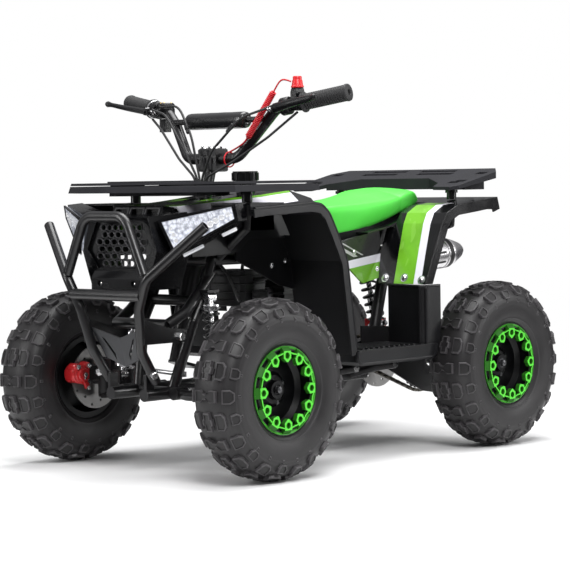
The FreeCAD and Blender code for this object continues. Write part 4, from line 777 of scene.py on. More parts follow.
def ringSector():
    # a five-sided boss with a round hole, the wedge that ties it back to the hoop and half of the web on each side
    house = [(53.8, -1.8), (53.8, 1.8), (61.6, 10.9), (76.0, 10.0), (76.0, -10.0), (61.6, -10.9)]
    boss = prism(house, (ring["bolt"], ring["holeR"]), ring["back"], ring["face"], 0.6)
    wedge = blockMesh("wedge", [
        [(75, 40.4, 9.2 * k), (84, 40.4, 11.2 * k), (84, 41.8, 11.2 * k), (80, 45.6, 10.2 * k), (75, 49, 9.2 * k)]
        for k in (-1, 1)])
    webs = [blockMesh("web", [
        [(70.4, 43.4, 8.6 * side), (73.4, 43.4, 8.8 * side), (73.2, 49.3, 8.8 * side), (70.6, 49.3, 8.6 * side)],
        [(67.4, 43.4, 18.4 * side), (70.2, 43.4, 19 * side), (70, 48.6, 19 * side), (67.6, 48.6, 18.4 * side)]])
        for side in (1, -1)]
    return joined("ringSector", [boss, wedge] + webs)


def ringMesh():
    hoop = turned("hoop", [(80.2, 40.3), (85, 40.3), (85, 42.2), (84.6, 42.9), (80.4, 41.0)], 144, "Y", True)
    bosses = around("bosses", ringSector(), ring["bosses"], ringGreen)
    return sharpened(joined("beadRing", [hoop, bosses]), 26)


ringBase = ringMesh()
for label, (body, spots, where, tail) in wheelSets.items():
    wheelCopies("beadRing" + label, ringBase, body, spots, ringGreen, [f"{where}_bead_ring{tail}"])

hub = {"cap": [(0, 31.0), (4.2, 30.6), (6.6, 29.0), (7.2, 26.5), (7.2, 22), (10.2, 22), (10.2, 12), (0, 12)],
       "nutCircle": 27.0, "nuts": 4}
capMesh = turned("hubCap", hub["cap"], 32, "Y")
nutMesh = turned("nut", [(0, 12.5), (3.6, 12.5), (3.6, 11), (5.6, 11), (6.2, 10.2), (6.2, 5.8), (0, 5.8)], 6, "Y")
nutMesh.transform(Matrix.Translation((hub["nutCircle"] / 1000, 0, 0)))
hubBase = sharpened(joined("hub", [capMesh, around("nuts", nutMesh, hub["nuts"], darkSteel, 0.4)]), 30)
for label, (body, spots, where, tail) in wheelSets.items():
    wheelCopies("hubCap" + label, hubBase, body, spots, darkSteel, ())
print("bead rings and hubs made")


seat = {
    "sections": [  # x, half width at the foot, at the shoulder and on top, foot height, top height, crown
        (-16, 52, 56, 46, 455, 506, 3), (-19, 55, 60, 50, 453.5, 511, 3), (-50, 68, 72, 62, 454, 518, 2),
        (-82, 78, 83, 73, 455.5, 520, 1.5), (-130, 86, 91, 81, 463, 522, 5), (-180, 92, 97, 86, 475.5, 526.5, 15.5),
        (-226, 96, 101, 88, 491, 532, 22), (-246, 98, 102.5, 87, 498, 538, 18), (-249, 95.2, 99.6, 85, 499, 535.6, 17.6),
        (-252, 98, 102.5, 86, 499.5, 540, 16), (-285, 97, 102, 80, 509, 550.5, 5.5), (-300, 94, 99, 77, 513, 549, 5),
        (-310, 90, 95, 74, 516, 542, 4), (-318, 86, 91, 72, 519, 533.5, 2.5), (-323, 82, 87, 70, 521, 527, 1.5),
        (-324, 80, 85, 68, 522, 526, 1)],
    "creased": {8: 0.35, 5: 0.3, 2: 0.5},
}


def seatMesh():
    # sections from the tank to the tail, each with a flat crowned top, a firm shoulder and a tucked foot
    points = []
    for x, foot, shoulder, top, low, high, crown in seat["sections"]:
        rise = high - low
        half = [(foot * 0.5, low), (foot - 3, low), (foot, low + 0.05 * rise), (shoulder - 1.5, low + 0.35 * rise),
                (shoulder, low + 0.66 * rise), (shoulder - 0.8, low + 0.80 * rise), (shoulder - 3, low + 0.90 * rise),
                (top + (shoulder - top) * 0.4, low + 0.975 * rise), (top, high), (top * 0.5, high + crown * 0.64),
                (0, high + crown)]
        outline = half + [(-y, z) for y, z in half[-2::-1]] + [(0, low)]
        points += [mm(x, y, z) for y, z in outline]
    rows = len(seat["sections"])
    count = len(points) // rows
    faces = quadRows(rows, count) + [tuple(range(count)), tuple(range((rows - 1) * count, rows * count))]
    mesh = meshOf("seatCover", points, faces)
    # the crown's edge, the shoulder and the foot stay firm where the cover is stitched
    mesh.attributes.new("crease_edge", "FLOAT", "EDGE")
    for edge in mesh.edges:
        a, b = [vertex % count for vertex in edge.vertices]
        if a == b:
            corner = min(a, 20 - a) if a <= 20 else -1
            mesh.attributes["crease_edge"].data[edge.index].value = seat["creased"].get(corner, 0.0)
    return mesh


def seatFinish():
    material, tree, shader, coords = newFinish("seatVinyl")
    broad = noiseOf(tree, coords, 12.0, 3.0)
    tree.links.new(twoTone(tree, broad, shaded(colours["seatGreen"], 0.93), shaded(colours["seatGreen"], 1.06)),
                   shader.inputs["Base Color"])
    leather = tree.nodes.new("ShaderNodeTexVoronoi")
    leather.feature = "DISTANCE_TO_EDGE"
    leather.inputs["Scale"].default_value = 700.0
    tree.links.new(coords, leather.inputs["Vector"])
    tree.links.new(ranged(tree, broad, 0.44, 0.54), shader.inputs["Roughness"])
    bumped(tree, shader, leather.outputs["Distance"], 0.25, 0.0006)
    return material


seatVinyl = seatFinish()
seatPiece = addMesh("seatCover", seatMesh(), "chassis", seatVinyl, ["seat"])
smoother = seatPiece.modifiers.new("smooth", "SUBSURF")
smoother.levels = 1
smoother.render_levels = 1
seatPan = {"stations": [(24, 52, 447, 30), (-30, 66, 452, 30), (-82, 80, 456, 30), (-130, 87, 463, 32), (-180, 91, 473, 44),
                        (-232, 92, 487, 48), (-300, 88, 505, 8)], "wall": 3.0}  # x, y, z and depth of each station


def seatPanMesh():
    # black edge of the seat's base, which hides the gap down to the side panels
    wall = seatPan["wall"]
    return blockMesh("seatPan", [[(x, y, z + 6), (x, y - wall, z + 6), (x, y - wall - 2, z - deep), (x, y - 2, z - deep)]
                                 for x, y, z, deep in seatPan["stations"]])


addMesh("seatPan", bothSides("seatPan", seatPanMesh()), "chassis", satin, sharp=30)
print("seat made")


pad = {"centre": (203, 0, 697),
       "half": [(0, -84), (9, -84), (13.5, -83), (16, -80), (16.8, -75), (17, -60), (16.7, -40), (17, -20), (16.8, 0)]}


def padMesh():
    profile = pad["half"] + [(r, -y) for r, y in pad["half"][-2::-1]]
    mesh = turned("padCover", profile, 40, "Y")
    mesh.transform(Matrix.Translation(mm(*pad["centre"])))
    return mesh


padVinyl = finish("padVinyl", (0.012, 0.012, 0.013), 0.24, grain=180, depth=0.05, edge=0.0, coat=0.4, shine=0.4, spread=0.1)
padPiece = addMesh("barPadCover", padMesh(), "steering", padVinyl, ["bar_pad"])

grip = {"length": 100.0, "ribs": 16, "collar": 20.5,
        "end": [(15.2, 95.5), (17.2, 97), (17.6, 99.5), (17.0, 102.5), (14.5, 103.8), (6.5, 104), (5.5, 103), (5.5, 100),
                (0, 100)]}
bar = {"end": Vector((154, 311, 744)), "shoulder": Vector((192, 156, 718))}
barAlong = (bar["end"] - bar["shoulder"]).normalized()


def gripMesh():
    profile = [(11.2, 0), (grip["collar"], 0), (grip["collar"] + 0.3, 1.6), (grip["collar"], 3.6), (17.2, 5.0), (15.0, 6.5)]
    span = (grip["length"] - 14) / grip["ribs"]
    for k in range(grip["ribs"]):
        start = 8 + k * span
        profile += [(15.1, start), (16.4, start + span * 0.2), (16.5, start + span * 0.6), (15.1, start + span * 0.8)]
    profile += grip["end"]
    return placed(turned("grip", profile, 40, "Z"), facing(barAlong, mm(*(bar["end"] - barAlong * grip["length"]))))


addMesh("gripSleeves", bothSides("gripSleeves", gripMesh()), "steering", softRubber, ["grips"], 40)
print("bar pad and grips made")


shock = {
    "frontFoot": Vector((357.5, 134, 186)), "frontHead": Vector((332, 98, 346)),
    "rearFoot": Vector((-290, 0, 236)), "rearHead": Vector((-240, 0, 396)),
    "coils": 7, "wire": 2.7,
}


def springMesh(length, radius):
    steps = shock["coils"] * 20
    angles = [2 * math.pi * shock["coils"] * k / steps for k in range(steps + 1)]
    return tubeMesh([mm(radius * math.cos(a), radius * math.sin(a), length * k / steps) for k, a in enumerate(angles)],
                    shock["wire"] / 1000, 8)


def tubeMesh(points, radius, sides=10):
    # a closed tube along a line of points
    rings = []
    normal = None
    for k, point in enumerate(points):
        ahead = (points[min(k + 1, len(points) - 1)] - points[max(k - 1, 0)]).normalized()
        if normal is None:
            normal = ahead.orthogonal().normalized()
        normal = (normal - ahead * normal.dot(ahead)).normalized()
        other = ahead.cross(normal)
        for s in range(sides):
            angle = 2 * math.pi * s / sides
            rings.append(point + (normal * math.cos(angle) + other * math.sin(angle)) * radius)
    last = (len(points) - 1) * sides
    faces = quadRows(len(points), sides) + [tuple(range(sides)), tuple(range(last, last + sides))]
    return meshOf("tube", rings, faces, 0)


def coilOver(foot, head, radius, eyeAxis, eyeHalf):
    along = head - foot
    length = along.length
    lift = facing(along, mm(*foot))
    low, high = 20, length - 22
    spring = placed(springMesh(high - low - 6, radius - shock["wire"]), lift @ Matrix.Translation(mm(0, 0, low + 3)))
    body = turned("damper", [(0, 0), (6, 0), (6, low - 6), (radius + 2, low - 4), (radius + 2, low), (10.5, low + 2),
                             (10.5, low + (high - low) * 0.55), (5.5, low + (high - low) * 0.56), (5.5, high - 6),
                             (12, high - 4), (radius + 2, high), (radius + 2, high + 4), (7, high + 8), (6, length),
                             (0, length)], 28, "Z")
    eyeSide = [(0, -eyeHalf), (8.2, -eyeHalf), (9, 1 - eyeHalf), (9, eyeHalf - 1), (8.2, eyeHalf), (0, eyeHalf)]
    eyes = [placed(turned("eye", eyeSide, 24), facing(eyeAxis, mm(*at))) for at in (foot, head)]
    return spring, joined("damperBody", [placed(body, lift)] + eyes)


springBlack = finish("springBlack", (0.010, 0.010, 0.011), 0.24, grain=900, depth=0.06, edge=0.0, coat=0.3)
frontPairs = [coilOver(*[Vector((end.x, end.y * side, end.z)) for end in (shock["frontFoot"], shock["frontHead"])],
                       18, (1, 0, 0), 11) for side in (1, -1)]
springs, dampers = zip(*frontPairs)
rearPair = coilOver(shock["rearFoot"], shock["rearHead"], 20, (0, 1, 0), 14)
addMesh("frontSprings", joined("frontSprings", springs), "chassis", springBlack, ["front_shocks"])
addMesh("frontDampers", joined("frontDampers", dampers), "chassis", zinc, sharp=35)
addMesh("rearSpring", rearPair[0], "chassis", springBlack, ["rear_shock"])
addMesh("rearDamper", rearPair[1], "chassis", zinc, sharp=35)
print("shocks made")

lamp = {"corners": [(478, 114, 499), (463, 137, 440), (404, 242, 503), (410, 240, 527)], "ledCount": 4}


def onLamp(along, rise, out=0.0):
    # point on the lens face: along runs from the nose to the outer end, rise from the lower to the upper edge
    a, b, c, d = [Vector(corner) for corner in lamp["corners"]]
    low = b.lerp(c, along)
    high = a.lerp(d, along)
    across = (c - b).cross(a - b).normalized()
    across = across if across.x > 0 else -across
    return mm(*(low.lerp(high, rise) + across * out)), across


def lampFrame():
    # slim black bezel round the lens, mitred at its corners
    rows = []
    for inset, out in ((-0.030, -3.0), (-0.030, 1.2), (-0.012, 1.8), (0.008, 1.4), (0.012, -0.6)):
        tall = inset * 2.4
        corners = (inset, 1 - tall), (inset, tall), (1 - inset, tall), (1 - inset, 1 - tall)
        rows.append([onLamp(u, v, out)[0] for u, v in corners])
    return meshOf("lampFrame", [point for row in rows for point in row], quadRows(len(rows), 4))


def lampParts():
    bead = turned("bead", [(0, 0.9), (0.55, 0.75), (0.9, 0.3), (1.0, -0.2)], 8)
    reflector = turned("reflector", [(0, 0.5), (3.2, 0.6), (4.0, 0.2), (6.6, 1.0), (7.4, 1.7), (8.2, 1.7), (8.6, 0.9),
                                     (8.6, -0.4)], 28)
    beads, reflectors = [], []
    for row in range(6):
        for column in range(17):
            at, way = onLamp(0.20 + 0.032 * column, 0.53 + 0.065 * row)
            beads.append((at, way, 1.0))
    for k in range(lamp["ledCount"]):
        at, way = onLamp(0.63 + 0.095 * k, 0.36 + 0.05 * k)
        reflectors.append((at, way, 0.80 - 0.07 * k))
    for rise, size in ((0.72, 0.45), (0.50, 0.45), (0.30, 0.45)):
        at, way = onLamp(0.09, rise)
        reflectors.append((at, way, size))
    return onSpots("beads", bead, beads, lampChrome), onSpots("reflectors", reflector, reflectors, lampChrome)


beadRows, ledRings = lampParts()
addMesh("lampBezels", bothSides("lampBezels", lampFrame()), "chassis", gloss, sharp=35)
addMesh("lampBeads", bothSides("lampBeads", joined("lampBeads", [beadRows, ledRings])), "chassis", lampChrome)


def slimLamp(start, end, tall):
    # a narrow bar lamp under the headlight, between two points in millimetres
    a, b = Vector(start), Vector(end)
    along = (b - a).normalized()
    out = Vector((along.y, -along.x, 0)).normalized()
    out = out if out.x > 0 else -out
    up = out.cross(along).normalized()
    up = up if up.z > 0 else -up
    loops = []
    for at, grow in ((a, 0.6), (a + along * 1.5, 1.0), (b - along * 1.5, 1.0), (b, 0.6)):
        loops.append([at + (out * forth + up * tall * rise) * grow
                      for forth, rise in ((2.5, 1), (4.5, 0), (2.5, -1), (0, -1), (0, 1))])
    return blockMesh("slimLamp", loops)


slimLamps = [slimLamp((449, 146, 433), (427, 180, 452), 3.4), slimLamp((409, 212, 471), (393, 236, 484), 3.4)]
addMesh("markerLamps", bothSides("markerLamps", joined("markers", slimLamps)), "chassis", lampChrome, sharp=35)


grilleGrey = finish("grilleGrey", (0.060, 0.060, 0.064), 0.32, grain=900, depth=0.1, edge=0.0)


def cellRing(halfWide, halfTall, cut):
    # one moulded outline of a grille cell, in the Y-Z plane
    rows = []
    for grow, out in ((1.3, 0.0), (1.3, 1.6), (0.5, 2.4), (-0.2, 1.8), (-0.2, -1.0)):
        w, t, c = halfWide + grow, halfTall + grow, cut + grow * 0.5
        right = [(w - c, t), (w, t - c), (w, c - t), (w - c, -t)]
        rows.append([(out, y, z) for y, z in right + [(-y, -z) for y, z in right]])
    return blockRing("cellRing", rows)


def blockRing(name, rows):
    return meshOf(name, [mm(*corner) for row in rows for corner in row], quadRows(len(rows), len(rows[0])))


def grilleOutlines():
    rings = []
    for row in range(6):
        z = 417 + row * 14
        reach = 80 - abs(z - 447) * 0.5
        count = 7 if row % 2 else 6
        pitch = 2 * reach / 7
        for index in range(count):
            y = (index - (count - 1) / 2) * pitch
            rings.append(placed(cellRing(pitch * 0.41, 5.2, 3.2), Matrix.Translation(mm(474, y, z))))
    return joined("grilleOutlines", rings)


scoop = {"openings": (-44, 0, 44), "half": (20.5, 17.2), "low": (506.5, 509.6), "high": (525.5, 522.4), "front": 440.0,
         "lean": 13 / 29}


def scoopFrames():
    # raised rims round the three air openings above the grille
    frames = []
    for y in scoop["openings"]:
        rows = []
        for which, out in ((0, -1.0), (0, 1.4), (1, 1.4), (1, -3.0)):
            wide, low, high = scoop["half"][which], scoop["low"][which], scoop["high"][which]
            rows.append([(scoop["front"] - (z - 500) * scoop["lean"] + out, y + side * wide, z)
                         for side, z in ((-1, low), (1, low), (1, high), (-1, high))])
        frames.append(blockRing("scoopFrame", rows))
    return joined("scoopFrames", frames)


addMesh("grilleOutlines", grilleOutlines(), "chassis", grilleGrey, sharp=50)
addMesh("scoopFrames", scoopFrames(), "chassis", grilleGrey, sharp=30)
print("lamps and grille outlines made")

boltMeshes = {
    "dome": turned("domeBolt", [(0, 4.2), (2.2, 4.0), (4.0, 3.1), (5.2, 1.6), (5.6, 0.6), (7.6, 0.6), (7.8, 0.0), (7.8, -1.2),
                                (0, -1.2)], 20, "Z"),
    "hex": turned("hexBolt", [(0, 5.2), (4.6, 5.2), (5.2, 4.6), (5.2, 0.4), (5.2, -1.2), (0, -1.2)], 6, "Z"),
}


rearWall = (0.92, 0.0, 0.39)
across, inward, forward = (0, 1, 0), (-0.99, 0, 0.14), (1, 0, 0.05)
boltSets = {
    "dome": [  # node, point, direction, size
        ("rear_body", (-163, 132, 362), rearWall, 1.25), ("rear_body", (-160, 184, 365), rearWall, 1.25),
        ("rear_body", (-157, 232, 362), rearWall, 1.25), ("front_fender_left", (82.5, 246, 300), inward, 0.95),
        ("front_fender_left", (90, 236, 345), inward, 0.9), ("front_fender_left", (78, 240, 258), inward, 0.8),
        ("front_fender_left", (160, 104.6, 402), across, 0.8), ("front_fender_left", (120, 104.6, 410), across, 0.8),
        ("side_panels", (-104, 95.4, 420), across, 0.7), ("side_panels", (-176, 95.4, 382), across, 0.7),
        ("front_cowl", (478, 48, 377.5), forward, 0.9)],
    "hex": [
        ("front_bumper", (468, 88, 202), across, 1.5), ("frame", (405, 87.2, 273), across, 1.6),
        ("frame", (332, 110.4, 346), across, 1.0)],
}
surfaces = {}


def landed(nodeName, point, direction):
    # moves a spot onto the named node's surface and takes that surface's own direction
    if nodeName not in surfaces:
        mesh = bpy.data.objects[nodeName].data
        surfaces[nodeName] = BVHTree.FromPolygons([v.co for v in mesh.vertices], [tuple(p.vertices) for p in mesh.polygons])
    way = Vector(direction).normalized()
    place, normal, face, gap = surfaces[nodeName].ray_cast(mm(*point) + way * 0.04, -way, 0.08)
    if place is None:
        print("no surface under a bolt of", nodeName, point)
        return mm(*point), way
    return place, normal if normal.dot(way) > 0 else -normal


for kind, spots in boltSets.items():
    found = [(*landed(nodeName, point, direction), size) for nodeName, point, direction, size in spots]
    found += [(flipped(place), flipped(way), size) for place, way, size in found]
    addMesh(kind + "Bolts", onSpots(kind + "Bolts", boltMeshes[kind], found, zinc), "chassis", zinc, sharp=32)
print("bolts made")


well = {"low": 198.0, "top": 229.0, "rear": -176.0, "outer": 259.0, "inner": 132.0, "wallTop": 352.0}


def edgeBead(points, radius):
    # rounded edge along a moulding, with short bends at its corners
    path = []
    for k, point in enumerate(points):
        here = Vector(point)
        if k in (0, len(points) - 1):
            path.append(here)
            continue
        before, after = Vector(points[k - 1]), Vector(points[k + 1])
        cut = min(9.0, (here - before).length * 0.4, (after - here).length * 0.4)
        a, b = here + (before - here).normalized() * cut, here + (after - here).normalized() * cut
        path += [a.lerp(here, t).lerp(here.lerp(b, t), t) for t in (0, 0.25, 0.5, 0.75, 1)]
    return tubeMesh([q / 1000 for q in path], radius / 1000, 10)


def wellBeads():
    # the rolled outer edges of the leg shield, the foot board and its rear wall
    low, top, rear, outer, inner, ledge = [well[key] for key in ("low", "top", "rear", "outer", "inner", "wallTop")]
    shield = [(x, outer - 5.6, z) for x, z in ((75, 236), (99.4, 412), (129, 471), (151, 509), (172, 525.5), (200, 529.2),
                                               (362, 521))]
    board = [(x, outer - 3.4, z) for x, z in ((73, top - 2), (74.2, low + 12), (64, low + 4), (rear + 14, low + 4),
                                              (rear + 3, low + 12), (rear + 2, top - 2))]
    rim = [(x, outer - 2.6, top - 1.6) for x in (72, rear + 4)]
    wallSide = [(rear + 29, outer - 6.5, top), (rear + 29, outer - 6.5, ledge - 3), (rear - 10, outer - 4, ledge - 3)]
    wallTop = [(x, y, ledge - 2.4) for x, y in ((rear + 19, inner + 9), (rear + 38, outer - 15), (rear + 29, outer - 6.5))]
    corner = [(rear + 38, outer - 15.5, z) for z in (top, ledge - 3)]
    return joined("wellBeads", [edgeBead(line, size) for line, size in (
        (shield, 3.6), (board, 4.2), (rim, 2.6), (wallSide, 3.4), (wallTop, 3.0), (corner, 3.0))])


addMesh("wellBeads", bothSides("wellBeads", wellBeads()), "chassis", satin, sharp=40)

archShade = {"outline": [(112, 458), (236, 458), (262, 434), (300, 430), (352, 428), (392, 428), (392, 500), (362, 514),
                      (174, 519), (130, 519), (104, 500)], "depth": (109.0, 112.0)}
# dark sheet behind the lamps that fills the view into the wheel arch with painted shade
archShadeMesh = blockMesh("archLining", [[(x, y, z) for x, z in archShade["outline"]] for y in archShade["depth"]])
addMesh("archLining", bothSides("archLining", archShadeMesh), "chassis", satin, sharp=30)
print("well edges and arch lining made")

can = {"start": (-230, 120, 398), "end": (-372, 120, 410), "radius": 33.0, "slots": 9}


def silencerMesh():
    # the can with a rolled black band at its rear, and the polished cone behind it
    start, end = Vector(can["start"]), Vector(can["end"])
    along = (end - start).normalized()
    length = (end - start).length
    lift = facing(along, mm(*start))
    r = can["radius"]
    shell = turned("shell", [(0, 0), (26, 0.5), (31, 2), (r - 0.2, 6), (r - 0.2, 9), (r - 1.4, 10), (r - 1.4, length - 22),
                             (r - 0.2, length - 21), (r - 0.2, length - 16)], 56)
    band = turned("band", [(r - 1.4, length - 17), (r - 0.1, length - 16.5), (r - 0.1, length - 3), (r - 1.6, length - 2),
                           (r - 1.6, length)], 56)
    cone = turned("cone", [(radius, length + level) for radius, level in (
        (r - 1.6, -2), (r - 1.2, 2), (r - 4.0, 12), (r - 9.5, 28), (19, 40), (17.2, 44), (13.2, 44.6), (12.4, 46), (12.2, 52),
        (10.6, 52.4), (10.2, 51), (10.2, 30), (0, 30))], 56)
    slot = blockMesh("slot", [[(-2.4, r - 2, z), (2.4, r - 2, z), (2.4, r - 0.7, z), (-2.4, r - 0.7, z)]
                              for z in (length - 62, length - 30)])
    slots = [placed(slot.copy(), Matrix.Rotation(2 * math.pi * k / can["slots"], 4, "Z")) for k in range(can["slots"])]
    bright = placed(joined("silencerShell", [shell, cone]), lift)
    dark = placed(joined("silencerDark", [band] + slots), lift)
    return bright, dark


silencer, silencerDark = silencerMesh()
bracket = blockMesh("bracket", [[(x, 84.8, 425), (x, 118, 428), (x, 118, 436), (x, 84.8, 444)] for x in (-330, -310)])
addMesh("silencerCan", silencer, "chassis", silencerSteel, ["muffler"], 30)
addMesh("silencerBand", joined("silencerTrim", [silencerDark, bracket]), "chassis", castBlack, sharp=30)
print("silencer made")


def routeLine(points):
    # points along the smooth spline through a route
    curve = bpy.data.curves.new("tetherRoute", "CURVE")
    curve.dimensions = "3D"
    spline = curve.splines.new("NURBS")
    spline.points.add(len(points) - 1)
    for k, point in enumerate(points):
        spline.points[k].co = (*mm(*point), 1)
    spline.order_u = 3
    spline.use_endpoint_u = True
    spline.resolution_u = 24
    carrier = bpy.data.objects.new("tetherRoute", curve)
    show(carrier)
    graph = bpy.context.evaluated_depsgraph_get()
    line = bpy.data.meshes.new_from_object(carrier.evaluated_get(graph), depsgraph=graph)
    found = [vertex.co.copy() for vertex in line.vertices]
    bpy.data.objects.remove(carrier)
    return found


def resampled(points, count):
    lengths = [0.0]
    for before, after in zip(points, points[1:]):
        lengths.append(lengths[-1] + (after - before).length)
    found = []
    k = 0
    for step in range(count + 1):
        reach = lengths[-1] * step / count
        while k < len(points) - 2 and lengths[k + 1] < reach:
            k += 1
        share = (reach - lengths[k]) / max(1e-9, lengths[k + 1] - lengths[k])
        found.append(points[k].lerp(points[k + 1], min(1.0, share)))
    return found


engine = {
    "airbox": (112, 186, -52, 46, 318, 392), "coil": (128, 168, 48, 66, 330, 352),
    "hoses": [(5.0, [(150, 46, 372), (150, 60, 372), (120, 72, 380), (80, 70, 404), (30, 66, 418)]),
              (3.4, [(170, 30, 390), (176, 34, 408), (150, 40, 420), (90, 44, 424)]),
              (3.6, [(62, 30, 330), (96, 58, 322), (120, 66, 300), (110, 70, 262), (60, 66, 250)]),
              (9.0, [(62, -20, 372), (90, -26, 376), (112, -24, 366)]),
              (3.2, [(30, 0, 404), (40, 6, 420), (70, 20, 424), (104, 40, 410), (128, 52, 396)]),
              (3.0, [(190, 40, 330), (214, 58, 340), (236, 66, 366), (250, 60, 398), (262, 40, 420)])],
    "header": [(60, -30, 330), (96, -40, 322), (112, -64, 296), (84, -78, 262), (10, -84, 240)],
    "carburettor": [  # start, end, profile and sides of each turned piece
        ((62, 0, 340), (112, 0, 340), [(0, 0), (15, 0), (15, 0.16), (10.5, 0.2), (10.5, 0.5), (13, 0.55), (13, 0.82),
                                       (16, 0.86), (16, 1), (0, 1)]),
        ((90, 2, 306), (90, 2, 332), [(0, 0), (9, 0.02), (11, 0.12), (11, 0.7), (13, 0.74), (13, 0.9), (9, 1), (0, 1)]),
        ((90, 0, 348), (90, 0, 380), [(0, 0), (9.5, 0), (9.5, 0.5), (11, 0.54), (11, 0.72), (8, 0.78), (4, 0.82), (4, 1),
                                      (0, 1)]),
        ((30, 0, 396), (30, 0, 418), [(0, 0), (8, 0), (8, 0.25), (5, 0.3), (5, 0.7), (3, 0.75), (3, 1), (0, 1)], 16)],
}


def ribbedBox(name, x0, x1, y0, y1, z0, z1, ribs):
    # box with cut corners and raised ribs round it
    parts = []
    feet = [z0 + (z1 - z0) * (k + 0.7) / (ribs + 0.4) for k in range(ribs)]
    for low, high, grow, ease in [(z0, z1, 0, 3.0)] + [(z, z + 2.4, 1.6, 0.8) for z in feet]:
        rows = []
        for z, shrink in ((low, ease), (low + 1.2, 0.0), (high - 1.2, 0.0), (high, ease)):
            a, b, c, d = x0 - grow + shrink, x1 + grow - shrink, y0 - grow + shrink, y1 + grow - shrink
            rows.append([(x, y, z) for x, y in ((a + 8, c), (b - 8, c), (b, c + 8), (b, d - 8), (b - 8, d), (a + 8, d),
                                                (a, d - 8), (a, c + 8))])
        parts.append(blockMesh(name, rows))
    return joined(name, parts)


def bentTube(points, radius, sides=12):
    return tubeMesh(resampled(routeLine(points), 40), radius / 1000, sides)


caliper = {"x": 419.3, "discIn": 213.0, "discOut": 216.0, "z": 186.0, "grown": 1.12}


def roundedBlock(name, corners, depth, edge):
    # a thick plate from an outline in the X-Z plane, with its rims rounded by two steps
    y0, y1 = depth
    middle = [sum(c[k] for c in corners) / len(corners) for k in (0, 1)]
    rows = []
    for level, shrink in ((y0, edge), (y0 + edge * 0.35, edge * 0.3), (y0 + edge, 0), (y1 - edge, 0),
                          (y1 - edge * 0.35, edge * 0.3), (y1, edge)):
        row = []
        for x, z in corners:
            reach = math.hypot(x - middle[0], z - middle[1])
            share = (reach - shrink) / reach
            row.append((middle[0] + (x - middle[0]) * share, level, middle[1] + (z - middle[1]) * share))
        rows.append(row)
    return blockMesh(name, rows)


def arcPoints(centre, radius, start, end, steps):
    turns = [math.radians(start + (end - start) * k / steps) for k in range(steps + 1)]
    return [(centre[0] + radius * math.cos(a), centre[1] + radius * math.sin(a)) for a in turns]


def barrel(name, start, end, profile, steps=24):
    # a turned piece between two points; profile pairs are a radius in millimetres and a share of the length
    a, b = Vector(start), Vector(end)
    length = (b - a).length
    return placed(turned(name, [(r, share * length) for r, share in profile], steps), facing(b - a, mm(*a)))


def enlarged(mesh):
    middle = mm(caliper["x"] + 4, (caliper["discIn"] + caliper["discOut"]) / 2, caliper["z"])
    mesh.transform(Matrix.Translation(middle) @ Matrix.Scale(caliper["grown"], 4) @ Matrix.Translation(-middle))
    return mesh


def frontCaliper():
    # cast body over the disc's front edge, with a round piston housing, two slide bosses and a cable arm
    x, z, inside, outside = caliper["x"] - 16, caliper["z"], caliper["discIn"], caliper["discOut"]
    body = [point for arc in (((x + 16, z), 17, -60, 120, 8), ((x, z + 14), 8.5, 90, 200, 4), ((x + 1, z - 12), 8, 180, 270, 4))
            for point in arcPoints(*arc)]
    cheek = roundedBlock("cheek", body, (inside - 18, inside - 1.5), 3.0)
    far = roundedBlock("farCheek", body, (outside + 1.5, outside + 4.8), 1.0)
    bridge = roundedBlock("bridge", [(x + 23, z - 14), (x + 32, z - 10), (x + 33.5, z + 8), (x + 26, z + 16), (x + 20, z + 12)],
                          (inside - 14, outside + 3), 1.2)
    piston = barrel("piston", (x + 15, inside - 17, z), (x + 15, inside - 29.5, z),
                    [(14.5, 0), (14.5, 0.25), (12.5, 0.35), (12.5, 0.8), (10.8, 0.95), (5.0, 1.0), (4.2, 0.9), (0, 0.9)])
    arm = roundedBlock("cableArm", [(x + 11, z - 4), (x + 19, z - 2), (x + 10, z - 26), (x + 2, z - 28), (x - 1, z - 24)],
                       (inside - 27, inside - 22), 1.2)
    bosses = [barrel("slide", (x + bx, inside - 22, z + bz), (x + bx, inside - 3, z + bz),
                     [(0, 0), (6.2, 0.02), (6.8, 0.08), (6.8, 1), (0, 1)]) for bx, bz in ((0, 15), (2, -13), (25, 14))]
    return enlarged(joined("caliperBody", [cheek, far, bridge, piston, arm] + bosses))


def frontCaliperBolts():
    x, z, inside = caliper["x"] - 16, caliper["z"], caliper["discIn"]
    out = Vector((0, -1, 0))
    spots = [(mm(x + bx, inside - depth, z + bz), out, size) for bx, bz, depth, size in (
        (0, 15, 22, 0.9), (2, -13, 22, 0.9), (25, 14, 22, 0.9), (15, 0, 29.5, 0.9), (6, -24, 27, 0.8), (13, -6, 27.4, 0.6))]
    return enlarged(onSpots("caliperBolts", boltMeshes["hex"], spots, zinc))


for label, side in (("left", 1), ("right", -1)):
    mirror = Matrix.Scale(side, 4, (0, 1, 0))
    addMesh("caliperBody_" + label, placed(frontCaliper(), mirror), "knuckle_" + label, redPaint,
            ["front_caliper_" + label], 40)
    addMesh("caliperBolts_" + label, placed(frontCaliperBolts(), mirror), "knuckle_" + label, zinc,
            sharp=32)
print("front calipers made")

hoses = [bentTube(route, radius) for radius, route in engine["hoses"]]
dress = joined("engineDress", [ribbedBox("airbox", *engine["airbox"], 4), ribbedBox("coil", *engine["coil"], 2)] + hoses)
intake = joined("carburettor", [barrel("intake", *sizes) for sizes in engine["carburettor"]])
addMesh("engineDress", dress, "chassis", castBlack, sharp=30)
addMesh("carburettor", intake, "chassis", alloy, sharp=30)
addMesh("exhaustPipe", bentTube(engine["header"], 11.0, 18), "chassis", darkSteel, sharp=40)
print("engine dressed")


def barPoint(reach, side=1):
    point = bar["end"] - barAlong * reach
    return Vector((point.x, side * point.y, point.z))


